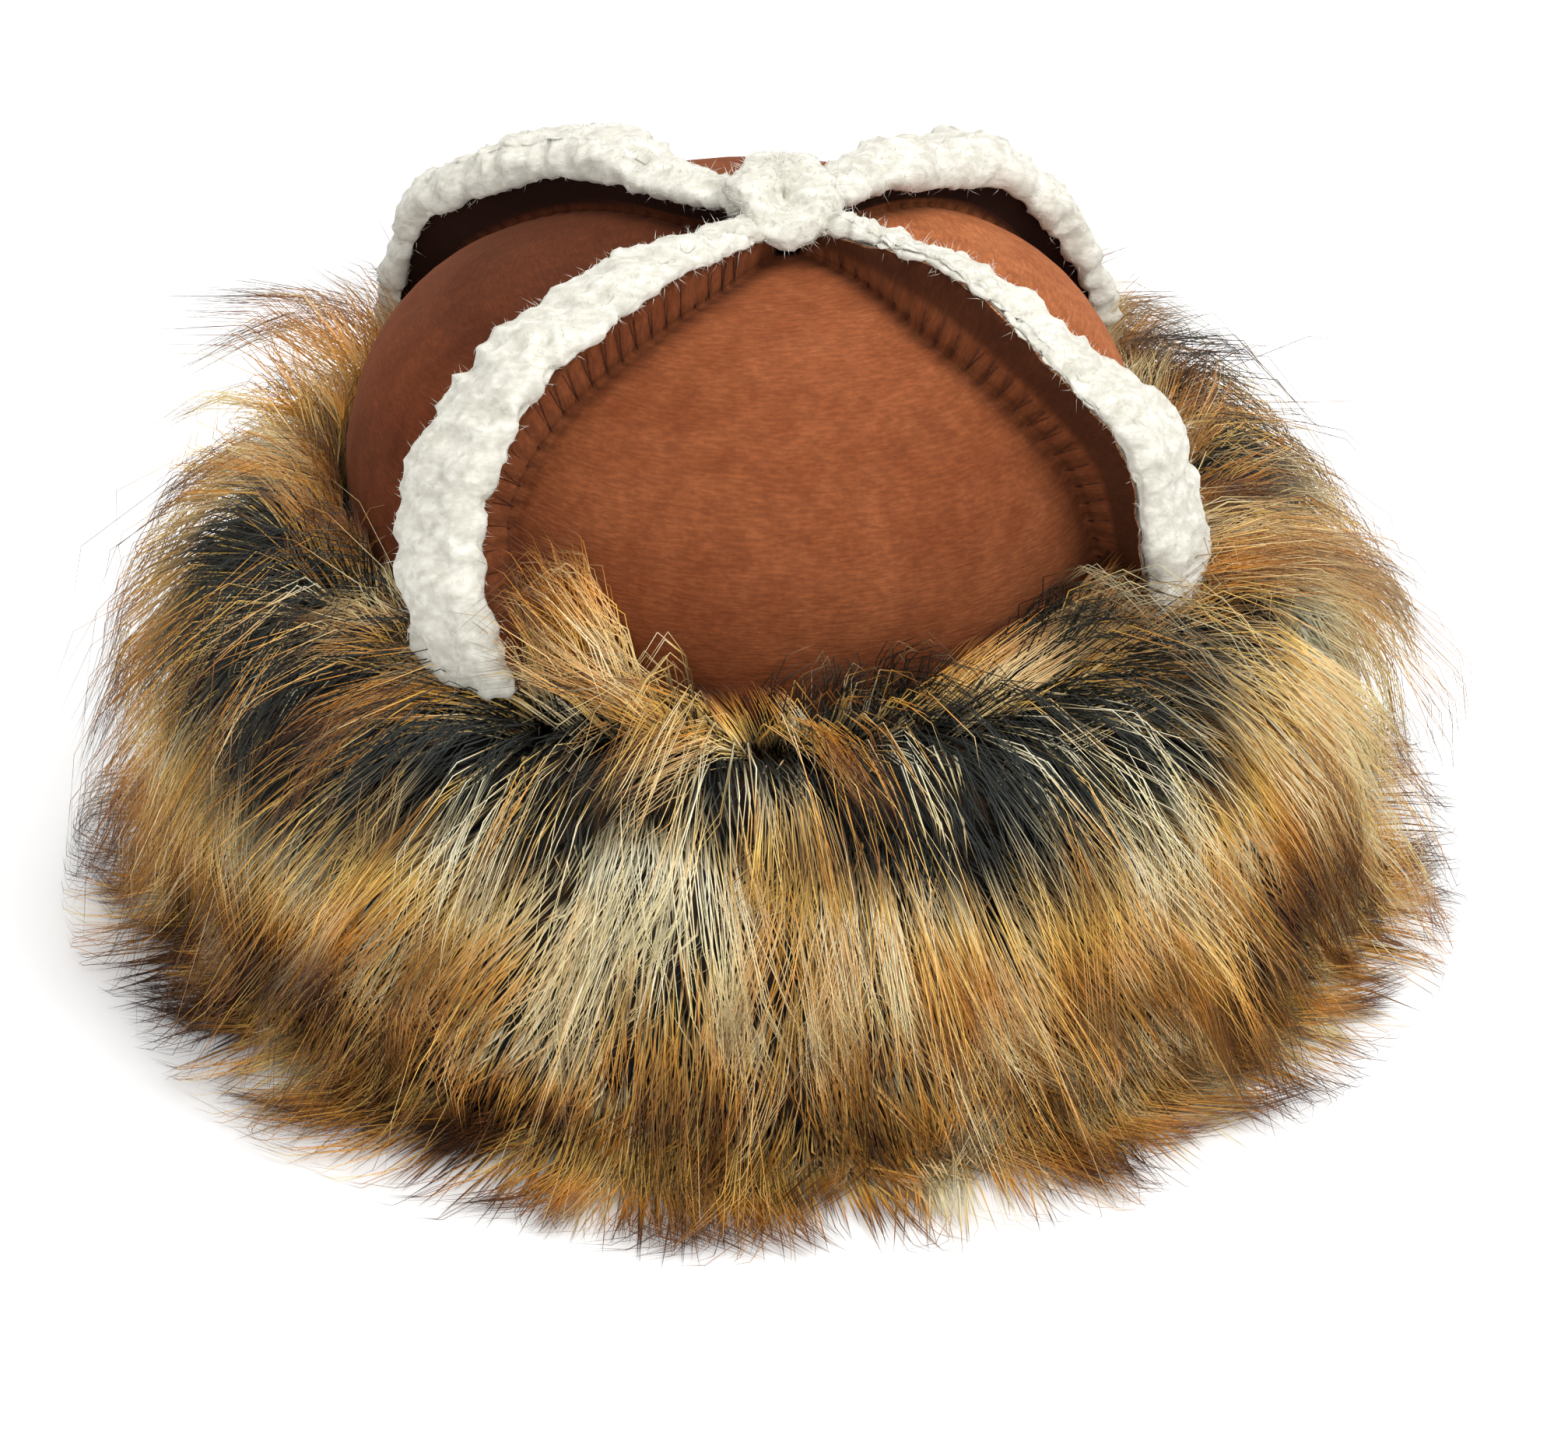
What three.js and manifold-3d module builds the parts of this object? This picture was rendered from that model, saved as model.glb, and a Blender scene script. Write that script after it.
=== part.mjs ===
// A cap of suede-faced fleece: four crown panels sewn with their edges turned outwards, so that the
// white fleece backing stands up along each seam, and a deep fur cuff round the bottom.
// Millimetres, +Z up. The front panel faces -Y, the wearer's right is -X and azimuths are measured
// from the front towards +X. The origin is the middle of the cap's footprint, on the ground.
import * as THREE from "three";
import { mergeVertices } from "three/addons/utils/BufferGeometryUtils.js";
import Module from "manifold-3d";

const wasm = await Module();
wasm.setup();

// Driving dimensions, in millimetres and degrees.
const CROWN_RADIUS = 100;
const CROWN_CENTRE_X = -6;
const CROWN_TOP_Z = 176;
const SHOULDER_Z = 109;
const HEM_Z = 3;
const APEX_SHIFT = { x: 11, y: 2 };
const TIP_RADIUS = 7;
const CLOTH = 2.2;
const PANEL_PUFF = 3;
const SEAM_HALF_GAP = 0.2;
const CLEARANCE = 0.35;

// How square the dome's half section is, which differs round it: 2 is an ellipse.
const SQUARENESS = { mean: 2.56, front: -0.2, right: -0.3 };

// Four seams. Each table runs from the shoulder to the tip in even steps: the seam's azimuth, how far
// its turned-out edges stand up, how far from the seam's plane the free edges of the panel before it
// and the panel after it have spread, which shows how the seam leans, and how far the fleece's pile
// stands over the free edges.
const SEAMS = {
  front_right: {
    azimuth: [53, 50, 43, 37, 43],
    height: [17, 17, 17, 15, 6],
    before: [8, 5, 0, -2, 1.5],
    after: [9, 14, 14, 11, 1.5],
    pile: [6, 6, 5, 5, 4.5],
  },
  back_right: {
    azimuth: [118, 120, 122, 126, 126],
    height: [13, 12, 11, 9, 6],
    before: [6, 5, 2, 2, 1.5],
    after: [8, 10, 12, 9, 1.5],
    pile: [7, 8, 8, 6, 4.5],
  },
  back_left: {
    azimuth: [222, 226, 230, 227, 232],
    height: [13, 13, 13, 11, 6],
    before: [8, 10, 13, 10, 1.5],
    after: [6, 4, 1, 1, 1.5],
    pile: [7, 7, 7, 5, 4.5],
  },
  front_left: {
    azimuth: [320, 313, 312, 315, 320],
    height: [17, 17, 16, 14, 6],
    before: [14, 16, 14, 12, 1.5],
    after: [5, 3, 2, 1, 1.5],
    pile: [6, 6, 6, 5, 4.5],
  },
};
const PANELS = [
  { name: "panel_front", from: "front_left", to: "front_right" },
  { name: "panel_right", from: "front_right", to: "back_right" },
  { name: "panel_back", from: "back_right", to: "back_left" },
  { name: "panel_left", from: "back_left", to: "front_left" },
];
const EDGE_START_Z = 110;
const EDGE_FADE_Z = 104;
const EDGE_LIP = 0.4;
const EDGE_LEVELS = [0.35, 0.68, 1];
const PANEL_COLUMNS = 7;
const DOME_ROWS = 11;
const WALL_ROWS_Z = [HEM_Z, 60, EDGE_FADE_Z];

// The fur cuff: a rounded mass on a backing band, with rows of pointed locks fused to it. Each row of
// locks says how many there are, where their roots and tips are, and their half sizes at the root.
const CUFF_BORE_RADIUS = CROWN_RADIUS + EDGE_LIP + 0.6;
const CUFF_BORE_SIDES = 48;
const MASS_SIDES = 54;
const MASS_LOBES = 18;
const MASS_LOBE = 2.5;
const MASS_PROFILE = [
  { radius: 152, z: 0 },
  { radius: 157, z: 9 },
  { radius: 158, z: 27 },
  { radius: 156, z: 47 },
  { radius: 150, z: 66 },
  { radius: 141, z: 82 },
  { radius: 129, z: 93 },
  { radius: 117, z: 99 },
  { radius: 106, z: 100 },
];
const LOCK_ROWS = [
  { count: 18, rootRadius: 110, rootZ: 88, tipRadius: 148, tipZ: 104, halfWidth: 17, halfThickness: 9 },
  { count: 19, rootRadius: 125, rootZ: 86, tipRadius: 165, tipZ: 72, halfWidth: 21, halfThickness: 11 },
  { count: 20, rootRadius: 138, rootZ: 70, tipRadius: 173, tipZ: 44, halfWidth: 21, halfThickness: 12 },
  { count: 20, rootRadius: 145, rootZ: 52, tipRadius: 174, tipZ: 20, halfWidth: 22, halfThickness: 12 },
  { count: 20, rootRadius: 146, rootZ: 31, tipRadius: 172, tipZ: 3, halfWidth: 21, halfThickness: 11 },
];
const LOCK_SIDES = 5;
const LOCK_SECTIONS = [
  { along: 0, size: 1 },
  { along: 0.55, size: 0.72 },
];

const SUEDE = new THREE.MeshStandardMaterial({ color: 0x96553a, roughness: 0.95, metalness: 0 });
const FLEECE = new THREE.MeshStandardMaterial({ color: 0xe9e7de, roughness: 1, metalness: 0 });
const FUR = new THREE.MeshStandardMaterial({ color: 0xa8763f, roughness: 0.8, metalness: 0 });

const clamp = THREE.MathUtils.clamp;
const radians = THREE.MathUtils.degToRad;

// A value of a table that runs over the dome in even steps, smoothly between its entries.
function tableAt(table, share) {
  const points = table.map((value, step) => new THREE.Vector2(step, value));
  return new THREE.SplineCurve(points).getPoint(clamp(share, 0, 1)).y;
}

// The share of the way up the dome at a height on the straight wall below it, which is negative.
const wallShare = (z) => (z - SHOULDER_Z) / (SHOULDER_Z - HEM_Z);

// A point of the crown's outer surface. share is 0 at the shoulder, 1 at the tip and -1 at the hem.
// The dome is a superellipse in section, and its upper part leans towards the apex.
function crownPoint(azimuth, share) {
  const { mean, front, right } = SQUARENESS;
  const power = 2 / (mean + front * Math.cos(azimuth) + right * Math.sin(azimuth));
  const lastAngle = Math.acos((TIP_RADIUS / CROWN_RADIUS) ** (1 / power));
  const angle = clamp(share, 0, 1) * lastAngle;
  const radius = CROWN_RADIUS * Math.cos(angle) ** power;
  const lift = Math.sin(angle) ** power;
  const below = Math.min(share, 0) * (SHOULDER_Z - HEM_Z);
  const lean = lift * lift;
  return new THREE.Vector3(
    CROWN_CENTRE_X + radius * Math.sin(azimuth) + APEX_SHIFT.x * lean,
    -radius * Math.cos(azimuth) + APEX_SHIFT.y * lean,
    SHOULDER_Z + below + lift * (CROWN_TOP_Z - SHOULDER_Z),
  );
}

// The crown's outer surface at an azimuth: its point, the way out and the way round.
function crownFrame(azimuth, share) {
  const step = 0.004;
  const inside = clamp(share, -1, 1 - step);
  const round = crownPoint(azimuth + step, share).sub(crownPoint(azimuth - step, share)).normalize();
  const up = crownPoint(azimuth, inside + step).sub(crownPoint(azimuth, inside - step)).normalize();
  return { point: crownPoint(azimuth, share), out: round.clone().cross(up).normalize(), round };
}

// A closed skin over rings of points. Each ring runs up one side and back down the other, so a strip
// of faces across it closes each end.
function skin(rings) {
  const size = rings[0].length;
  const index = [];
  const quad = (a, b, c, d) => index.push(a, b, c, a, c, d);
  for (let r = 0; r + 1 < rings.length; r++) {
    for (let i = 0; i < size; i++) {
      const next = (i + 1) % size;
      quad(r * size + i, r * size + next, (r + 1) * size + next, (r + 1) * size + i);
    }
  }
  const last = (rings.length - 1) * size;
  for (let i = 0; i + 1 < size / 2; i++) {
    quad(i, size - 1 - i, size - 2 - i, i + 1);
    quad(last + i, last + i + 1, last + size - 2 - i, last + size - 1 - i);
  }
  return solidOf(new THREE.BufferGeometry().setFromPoints(rings.flat()).setIndex(index));
}

// A closed three.js geometry as a solid that can be joined and cut.
function solidOf(geometry) {
  geometry.deleteAttribute("normal");
  geometry.deleteAttribute("uv");
  const merged = mergeVertices(geometry, 1e-4);
  const triVerts = new Uint32Array(merged.index.array);
  const vertProperties = merged.attributes.position.array;
  const made = new wasm.Manifold(new wasm.Mesh({ numProp: 3, vertProperties, triVerts }));
  if (made.volume() > 0) return made;
  const turned = triVerts.slice().reverse();
  return new wasm.Manifold(new wasm.Mesh({ numProp: 3, vertProperties, triVerts: turned }));
}

function meshOf(name, solid, material) {
  const found = solid.getMesh();
  const geometry = new THREE.BufferGeometry();
  geometry.setAttribute("position", new THREE.BufferAttribute(found.vertProperties, 3));
  geometry.setIndex(new THREE.BufferAttribute(found.triVerts, 1));
  geometry.computeVertexNormals();
  const mesh = new THREE.Mesh(geometry, material);
  mesh.name = name;
  return mesh;
}

const seamAzimuth = (seam, share) => radians(tableAt(seam.azimuth, share));
const edgeShown = (share) =>
  THREE.MathUtils.smoothstep(share, wallShare(EDGE_FADE_Z), wallShare(EDGE_START_Z));

// How far a seam's turned-out edges stand up at a share: a lip under the fur, and full above it, with
// the slow waves of cut cloth.
function edgeHeight(seam, share) {
  const wave = 1 + 0.07 * Math.sin(17 * share + seam.azimuth[0]);
  return EDGE_LIP + edgeShown(share) * (tableAt(seam.height, share) * wave - EDGE_LIP);
}

// How far a turned-out edge's fleece face is from the seam's plane at a level of its height. It is
// nearly upright where the stitches hold it, then flares. side is -1 before the seam and 1 after it.
function edgeDistance(seam, side, share, level) {
  const spread = tableAt(side < 0 ? seam.before : seam.after, share);
  return SEAM_HALF_GAP + edgeShown(share) * spread * level ** 1.6;
}

// A point near a seam: its height out of the crown, and its signed distance round from the seam.
function seamPoint(seam, share, height, distance) {
  const frame = crownFrame(seamAzimuth(seam, share), share);
  return frame.point.addScaledVector(frame.out, height).addScaledVector(frame.round, distance);
}

// One panel's turned-out edge at a share, from its foot to its free edge, on one face of the cloth.
function edgeColumn(seam, side, share, cloth) {
  const height = edgeHeight(seam, share);
  return EDGE_LEVELS.map((level) =>
    seamPoint(seam, share, level * height, side * (edgeDistance(seam, side, share, level) + cloth)),
  );
}

const DOME_SHARES = Array.from({ length: DOME_ROWS }, (_, i) => 0.07 + (0.93 * i) / (DOME_ROWS - 1));
const ROW_SHARES = [...WALL_ROWS_Z.map(wallShare), wallShare(EDGE_START_Z), ...DOME_SHARES];

// A crown panel: a curved wall between two seams, puffed out in its middle, with both of its seam
// edges turned outwards in one piece with it.
function crownPanel(panel) {
  const near = SEAMS[panel.from];
  const far = SEAMS[panel.to];
  const rings = ROW_SHARES.map((share) => {
    const first = seamAzimuth(near, share);
    const turn = (seamAzimuth(far, share) - first + 2 * Math.PI) % (2 * Math.PI);
    const here = crownPoint(first, share);
    const radius = here.distanceTo(crownPoint(first + Math.PI, share)) / 2;
    const rise = Math.sin(Math.PI * clamp(share, 0, 1) ** 0.8);
    const wall = (cloth) =>
      Array.from({ length: PANEL_COLUMNS }, (_, c) => {
        const inset = (SEAM_HALF_GAP + cloth) / Math.max(radius, TIP_RADIUS);
        const across = c / (PANEL_COLUMNS - 1);
        const frame = crownFrame(first + inset + (turn - 2 * inset) * across, share);
        const puff = PANEL_PUFF * Math.sin(Math.PI * across) * rise;
        return frame.point.addScaledVector(frame.out, puff + cloth - CLOTH);
      });
    const face = (cloth) => [
      ...edgeColumn(near, 1, share, cloth).reverse(),
      ...wall(cloth),
      ...edgeColumn(far, -1, share, cloth),
    ];
    return [...face(CLOTH), ...face(0).reverse()];
  });
  return skin(rings);
}

// The fleece that fills a seam between its two turned-out edges and rolls over their free edges.
function seamFleece(seam) {
  const shares = [wallShare(EDGE_START_Z), ...DOME_SHARES];
  const rings = shares.map((share) => {
    const height = edgeHeight(seam, share);
    const over = height + 2 * CLEARANCE;
    const pile = tableAt(seam.pile, share) * (1 + 0.12 * Math.sin(29 * share + 2 * seam.azimuth[0]));
    const wall = (side) => {
      const within = (level) => edgeDistance(seam, side, share, level) - CLEARANCE;
      const brim = edgeDistance(seam, side, share, 1);
      const rows = [
        { height: EDGE_LEVELS[0] * height, half: within(EDGE_LEVELS[0]) },
        { height: EDGE_LEVELS[1] * height, half: within(EDGE_LEVELS[1]) },
        { height: over, half: within(1) },
        { height: over, half: brim + CLOTH * 0.8 },
        { height: height + 0.6 * pile, half: brim + CLOTH * 0.8 },
        { height: height + pile, half: brim * 0.6 },
      ];
      return rows.map((row) => seamPoint(seam, share, row.height, side * row.half));
    };
    return [...wall(1), ...wall(-1).reverse()];
  });
  return skin(rings);
}

// The gathered fleece where the four seams meet, over the small hole that the panels' tips leave.
function crownTuft() {
  const outline = [
    { radius: TIP_RADIUS - CLEARANCE - 0.2, z: -CLOTH },
    { radius: TIP_RADIUS - CLEARANCE - 0.2, z: 3 },
    { radius: TIP_RADIUS - CLEARANCE - 0.4, z: 10.8 },
    { radius: 9, z: 12.5 },
    { radius: 10, z: 15 },
    { radius: 6, z: 18 },
  ];
  const sides = 10;
  const centre = new THREE.Vector3(CROWN_CENTRE_X + APEX_SHIFT.x, APEX_SHIFT.y, CROWN_TOP_Z);
  const rings = outline.map((row, level) =>
    Array.from({ length: sides }, (_, i) => {
      const angle = (2 * Math.PI * i) / sides;
      const reach = row.radius * (1 + (level > 2 ? 0.12 * Math.sin(3 * angle + level) : 0));
      return new THREE.Vector3(reach * Math.cos(angle), reach * Math.sin(angle), row.z).add(centre);
    }),
  );
  return skin(rings);
}

// A repeatable number from -1 to 1 for a lock, so that neighbours differ.
function variation(row, lock, salt) {
  const wave = Math.sin(row * 127.1 + lock * 311.7 + salt * 74.7) * 43758.5453;
  return 2 * (wave - Math.floor(wave)) - 1;
}

const around = (azimuth, radius, z) =>
  new THREE.Vector3(radius * Math.sin(azimuth), -radius * Math.cos(azimuth), z);

// The body of the fur: a ring, rounded in section, with lobes that are staggered row by row.
function furMass() {
  const size = MASS_PROFILE.length;
  const points = Array.from({ length: MASS_SIDES }, (_, i) => {
    const azimuth = (2 * Math.PI * i) / MASS_SIDES;
    return MASS_PROFILE.map((row, level) => {
      const lobe = level % (size - 1) ? MASS_LOBE * Math.cos(MASS_LOBES * azimuth + Math.PI * level) : 0;
      return around(azimuth, row.radius + lobe, row.z);
    });
  }).flat();
  const bottom = points.push(around(0, 0, MASS_PROFILE[0].z)) - 1;
  const top = points.push(around(0, 0, MASS_PROFILE[size - 1].z)) - 1;
  const index = [];
  for (let i = 0; i < MASS_SIDES; i++) {
    const a = i * size;
    const b = ((i + 1) % MASS_SIDES) * size;
    for (let j = 0; j + 1 < size; j++) index.push(a + j, b + j, b + j + 1, a + j, b + j + 1, a + j + 1);
    index.push(bottom, b, a, top, a + size - 1, b + size - 1);
  }
  return solidOf(new THREE.BufferGeometry().setFromPoints(points).setIndex(index));
}

// A closed horn: a flat fan at its root, rings of points, and a fan to its tip.
function hornOf(rings, tip) {
  const size = rings[0].length;
  const points = [...rings.flat(), tip];
  const index = [];
  for (let r = 0; r + 1 < rings.length; r++) {
    for (let i = 0; i < size; i++) {
      const [a, b] = [r * size + i, r * size + ((i + 1) % size)];
      index.push(a, b, b + size, a, b + size, a + size);
    }
  }
  const last = (rings.length - 1) * size;
  for (let i = 0; i < size; i++) index.push(last + i, last + ((i + 1) % size), points.length - 1);
  for (let i = 1; i + 1 < size; i++) index.push(0, i + 1, i);
  return solidOf(new THREE.BufferGeometry().setFromPoints(points).setIndex(index));
}

// One lock of fur: a flattened tapering horn that comes out of the mass to a point.
function furLock(row, rowIndex, lock) {
  const azimuth = (2 * Math.PI * (lock + 0.2 * variation(rowIndex, lock, 1))) / row.count + rowIndex;
  const twist = azimuth + 0.06 * variation(rowIndex, lock, 2);
  const root = around(azimuth, row.rootRadius, row.rootZ);
  const tipRadius = row.tipRadius + 3 * (variation(rowIndex, lock, 3) - 1);
  const tip = around(twist, tipRadius, Math.max(row.tipZ + 5 * variation(rowIndex, lock, 4), 1.5));
  const bend = root.clone().lerp(tip, 0.5).add(new THREE.Vector3(0, 0, 5));
  const path = new THREE.QuadraticBezierCurve3(root, bend, tip);
  const round = new THREE.Vector3(Math.cos(azimuth), Math.sin(azimuth), 0);
  const rings = LOCK_SECTIONS.map((section) => {
    const centre = path.getPoint(section.along);
    const up = path.getTangent(section.along).cross(round).normalize().negate();
    return Array.from({ length: LOCK_SIDES }, (_, i) => {
      const angle = (2 * Math.PI * (i + 0.25)) / LOCK_SIDES;
      return centre
        .clone()
        .addScaledVector(round, row.halfWidth * section.size * Math.cos(angle))
        .addScaledVector(up, row.halfThickness * section.size * Math.sin(angle));
    });
  });
  return hornOf(rings, tip);
}

// A solid with the pockets sealed inside it filled in.
function withoutCavities(solid) {
  const shells = solid.decompose().filter((shell) => shell.volume() > 0);
  return shells.reduce((joined, shell) => joined.add(shell));
}

// The cuff: locks fused to the mass, bored for the crown and pressed flat on the ground.
function furCuff() {
  let cuff = furMass();
  LOCK_ROWS.forEach((row, rowIndex) => {
    for (let lock = 0; lock < row.count; lock++) cuff = cuff.add(furLock(row, rowIndex, lock));
  });
  const deep = 400;
  const bore = new THREE.CylinderGeometry(CUFF_BORE_RADIUS, CUFF_BORE_RADIUS, deep, CUFF_BORE_SIDES);
  bore.rotateX(Math.PI / 2).translate(CROWN_CENTRE_X, 0, 0);
  const ground = new THREE.BoxGeometry(deep, deep, deep).translate(0, 0, -deep / 2);
  return withoutCavities(cuff.subtract(solidOf(bore)).subtract(solidOf(ground)));
}

const cap = new THREE.Group();
for (const panel of PANELS) cap.add(meshOf(panel.name, crownPanel(panel), SUEDE));
for (const [place, seam] of Object.entries(SEAMS)) {
  cap.add(meshOf(`fleece_${place}`, seamFleece(seam), FLEECE));
}
cap.add(meshOf("fleece_crown_tuft", crownTuft(), FLEECE));
cap.add(meshOf("fur_cuff", furCuff(), FUR));

export default cap;
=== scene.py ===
"""The looks of a fur-trimmed cap: suede-faced crown panels, standing fleece seams and a deep fur cuff.

Every length is in millimetres in the row's frame, +Z up, with the front panel towards -Y and the
wearer's right at -X. Azimuths are degrees from the front towards +X. Meshes are written in metres.
"""

import itertools
import logging
import math
from dataclasses import dataclass, replace
from enum import Enum
from functools import partial
from typing import Sequence

import bpy
import numpy as np
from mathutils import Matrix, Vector


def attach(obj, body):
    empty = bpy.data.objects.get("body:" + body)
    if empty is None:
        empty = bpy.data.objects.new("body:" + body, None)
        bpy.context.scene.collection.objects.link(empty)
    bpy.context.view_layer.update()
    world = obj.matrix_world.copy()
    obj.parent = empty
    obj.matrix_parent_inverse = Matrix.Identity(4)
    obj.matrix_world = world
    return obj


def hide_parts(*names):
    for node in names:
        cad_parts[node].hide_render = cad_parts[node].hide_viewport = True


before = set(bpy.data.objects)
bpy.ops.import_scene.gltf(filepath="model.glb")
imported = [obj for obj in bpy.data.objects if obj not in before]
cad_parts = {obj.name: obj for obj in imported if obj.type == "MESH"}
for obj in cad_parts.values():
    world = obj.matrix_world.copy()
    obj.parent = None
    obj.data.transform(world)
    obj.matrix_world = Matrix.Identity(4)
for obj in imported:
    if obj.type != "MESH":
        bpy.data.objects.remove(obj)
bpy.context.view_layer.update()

LOG = logging.getLogger("cap")
MM = 0.001
BODY = "root"
STRAND_MAP = "OFBake"
CLOTH_MAP = "cloth"
# The attribute of painted shade on the suede panels.
SHADE = "shade"
Array = np.ndarray
Colour = tuple[int, int, int]


# Numbers and curves

def smooth(values: Array, low: float, high: float) -> Array:
    """Rises from 0 at low to 1 at high, as three squares less two cubes of the share between them."""
    share = np.clip((np.asarray(values, float) - low) / (high - low), 0, 1)
    return share * share * (3 - 2 * share)


def bell(values: Array, centre: float, width: float) -> Array:
    """A bump of height 1 at centre: e to the minus square of the distance in widths."""
    return np.exp(-(((np.asarray(values, float) - centre) / width) ** 2))


def spline(values: Sequence[float], share: Array) -> Array:
    """Runs smoothly through values at even steps, as a uniform Catmull-Rom cubic.

    Args:
        values: The numbers, or points as rows, that the curve passes through.
        share: Places along the curve from 0 to 1, in an array of any shape.

    Returns:
        The curve's values, in share's shape and then the shape of one value.
    """
    points = np.asarray(values, float)
    last = len(points) - 1
    place = np.clip(np.asarray(share, float), 0, 1) * last
    low = np.minimum(place.astype(int), last - 1)
    part = (place - low).reshape(place.shape + (1,) * (points.ndim - 1))
    before, start = points[np.maximum(low - 1, 0)], points[low]
    end, after = points[low + 1], points[np.minimum(low + 2, last)]
    leaving, arriving = (end - before) / 2, (after - start) / 2
    cubic = 2 * start - 2 * end + leaving + arriving
    square = 3 * end - 3 * start - 2 * leaving - arriving
    return ((cubic * part + square) * part + leaving) * part + start


def unit(vectors: Array) -> Array:
    """Each vector divided by its length."""
    return vectors / np.maximum(np.linalg.norm(vectors, axis=-1, keepdims=True), 1e-9)


def around(azimuth: Array, radius: Array, z: Array) -> Array:
    """Points at an azimuth in radians: x is radius by sine, y is minus radius by cosine."""
    azimuth, radius, z = np.broadcast_arrays(azimuth, radius, z)
    return np.stack([radius * np.sin(azimuth), -radius * np.cos(azimuth), z], -1)


def grid_normals(points: Array) -> Array:
    """The normals of a grid of points: the cross product of its steps along columns and rows."""
    down, across = np.gradient(points, axis=(0, 1))
    return unit(np.cross(across, down))


def travelled(points: Array, axis: int = 0) -> Array:
    """How far each point lies from the first one, by the sum of the steps along an axis.

    Args:
        points: Points in a line or a grid.
        axis: The axis to go along.

    Returns:
        The distances, in the shape of the points without their last axis.
    """
    steps = np.linalg.norm(np.diff(points, axis=axis), axis=-1)
    start = np.zeros_like(np.take(steps, [0], axis=axis))
    return np.concatenate([start, np.cumsum(steps, axis=axis)], axis=axis)


@dataclass(frozen=True)
class Lattice:
    """Smooth random values in space: random numbers at whole cells, blended smoothly inside each.

    Args:
        seed: Tells one field from another.
    """

    seed: int

    steps: tuple[int, int, int, int] = (73856093, 19349663, 83492791, 40503)
    stir: int = 1274126177

    def corner(self, cells: Array) -> Array:
        """A random number from 0 to 1 for each whole cell, by mixing its three numbers.

        Args:
            cells: Whole cells, by three numbers each.

        Returns:
            The numbers.
        """
        x, y, z = np.moveaxis(cells, -1, 0)
        a, b, c, d = self.steps
        mixed = (x * a) ^ (y * b) ^ (z * c) ^ (self.seed * d)
        mixed = (mixed ^ (mixed >> 13)) * self.stir
        return ((mixed ^ (mixed >> 16)) & 0xFFFF) / 0xFFFF

    def at(self, points: Array, size: float | Sequence[float]) -> Array:
        """The field at points, from 0 to 1, with cells of that size.

        Args:
            points: Places in space.
            size: The side of a cell, or one for each axis.

        Returns:
            The field's values.
        """
        cell = np.asarray(points, float) / np.asarray(size, float)
        low = np.floor(cell).astype(np.int64)
        part = cell - low
        part = part * part * (3 - 2 * part)
        total = np.zeros(cell.shape[:-1])
        for step in itertools.product((0, 1), repeat=3):
            weight = np.prod(np.where(np.array(step) == 1, part, 1 - part), axis=-1)
            total += weight * self.corner(low + np.array(step))
        return total

    def swing(self, points: Array, size: float | Sequence[float]) -> Array:
        """The field from -1 to 1."""
        return 2 * self.at(points, size) - 1


# Meshes

def new_mesh(name: str, points: Array, faces: Sequence[Array], uv: Array | None = None,
             uv_name: str = CLOTH_MAP, slots: Array | None = None,
             shade: Array | None = None) -> bpy.types.Object:
    """Makes a smooth-shaded mesh object at the origin from whole arrays.

    Args:
        name: The piece's name.
        points: Vertices in millimetres, one a row.
        faces: Arrays of faces, each with one number of corners.
        uv: The UV place of each vertex, if the piece has a map.
        uv_name: The map's name.
        slots: The material slot of each face, in the order of faces.
        shade: How much painted shade darkens each vertex, 0 to 1, kept as an attribute.

    Returns:
        The new object, linked to the scene.
    """
    corners = np.concatenate([f.ravel() for f in faces]).astype(np.int32)
    sizes = np.concatenate([np.full(len(f), f.shape[1]) for f in faces])
    starts = np.concatenate([[0], np.cumsum(sizes)[:-1]]).astype(np.int32)
    mesh = bpy.data.meshes.new(name)
    mesh.vertices.add(len(points))
    mesh.vertices.foreach_set("co", (points * MM).astype(np.float32).ravel())
    mesh.loops.add(len(corners))
    mesh.loops.foreach_set("vertex_index", corners)
    mesh.polygons.add(len(sizes))
    mesh.polygons.foreach_set("loop_start", starts)
    if slots is not None:
        mesh.polygons.foreach_set("material_index", slots.astype(np.int32))
    mesh.update(calc_edges=True)
    if uv is not None:
        layer = mesh.uv_layers.new(name=uv_name)
        layer.data.foreach_set("uv", uv[corners].astype(np.float32).ravel())
    if shade is not None:
        kept = mesh.attributes.new(SHADE, "FLOAT", "POINT")
        kept.data.foreach_set("value", shade.astype(np.float32).ravel())
    mesh.shade_smooth()
    piece = bpy.data.objects.new(name, mesh)
    bpy.context.scene.collection.objects.link(piece)
    return piece


def ring_faces(rows: int, columns: int, closed_rows: bool = False) -> Array:
    """Quads over a grid whose columns close on themselves, and whose rows may.

    Args:
        rows: How many rows.
        columns: How many columns.
        closed_rows: Whether the last row joins the first.

    Returns:
        The quads' corners, one face a row.
    """
    row = np.arange(rows if closed_rows else rows - 1)[:, None]
    column = np.arange(columns)[None]
    below, beside = (row + 1) % rows, (column + 1) % columns
    quads = (row * columns + column, row * columns + beside,
             below * columns + beside, below * columns + column)
    return np.stack([np.broadcast_to(q, (len(row), columns)) for q in quads], -1).reshape(-1, 4)


def outward(points: Array, faces: Sequence[Array]) -> list[Array]:
    """Turns the faces round if the volume that they close, by the divergence rule, is negative.

    Args:
        points: Vertices.
        faces: Arrays of faces.

    Returns:
        The faces, turned where they have to be.
    """
    volume = 0.0
    for group in faces:
        corner = points[group]
        for last in range(2, group.shape[1]):
            cross = np.cross(corner[:, last - 1], corner[:, last])
            volume += float((corner[:, 0] * cross).sum())
    return list(faces) if volume > 0 else [group[:, ::-1] for group in faces]


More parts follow.
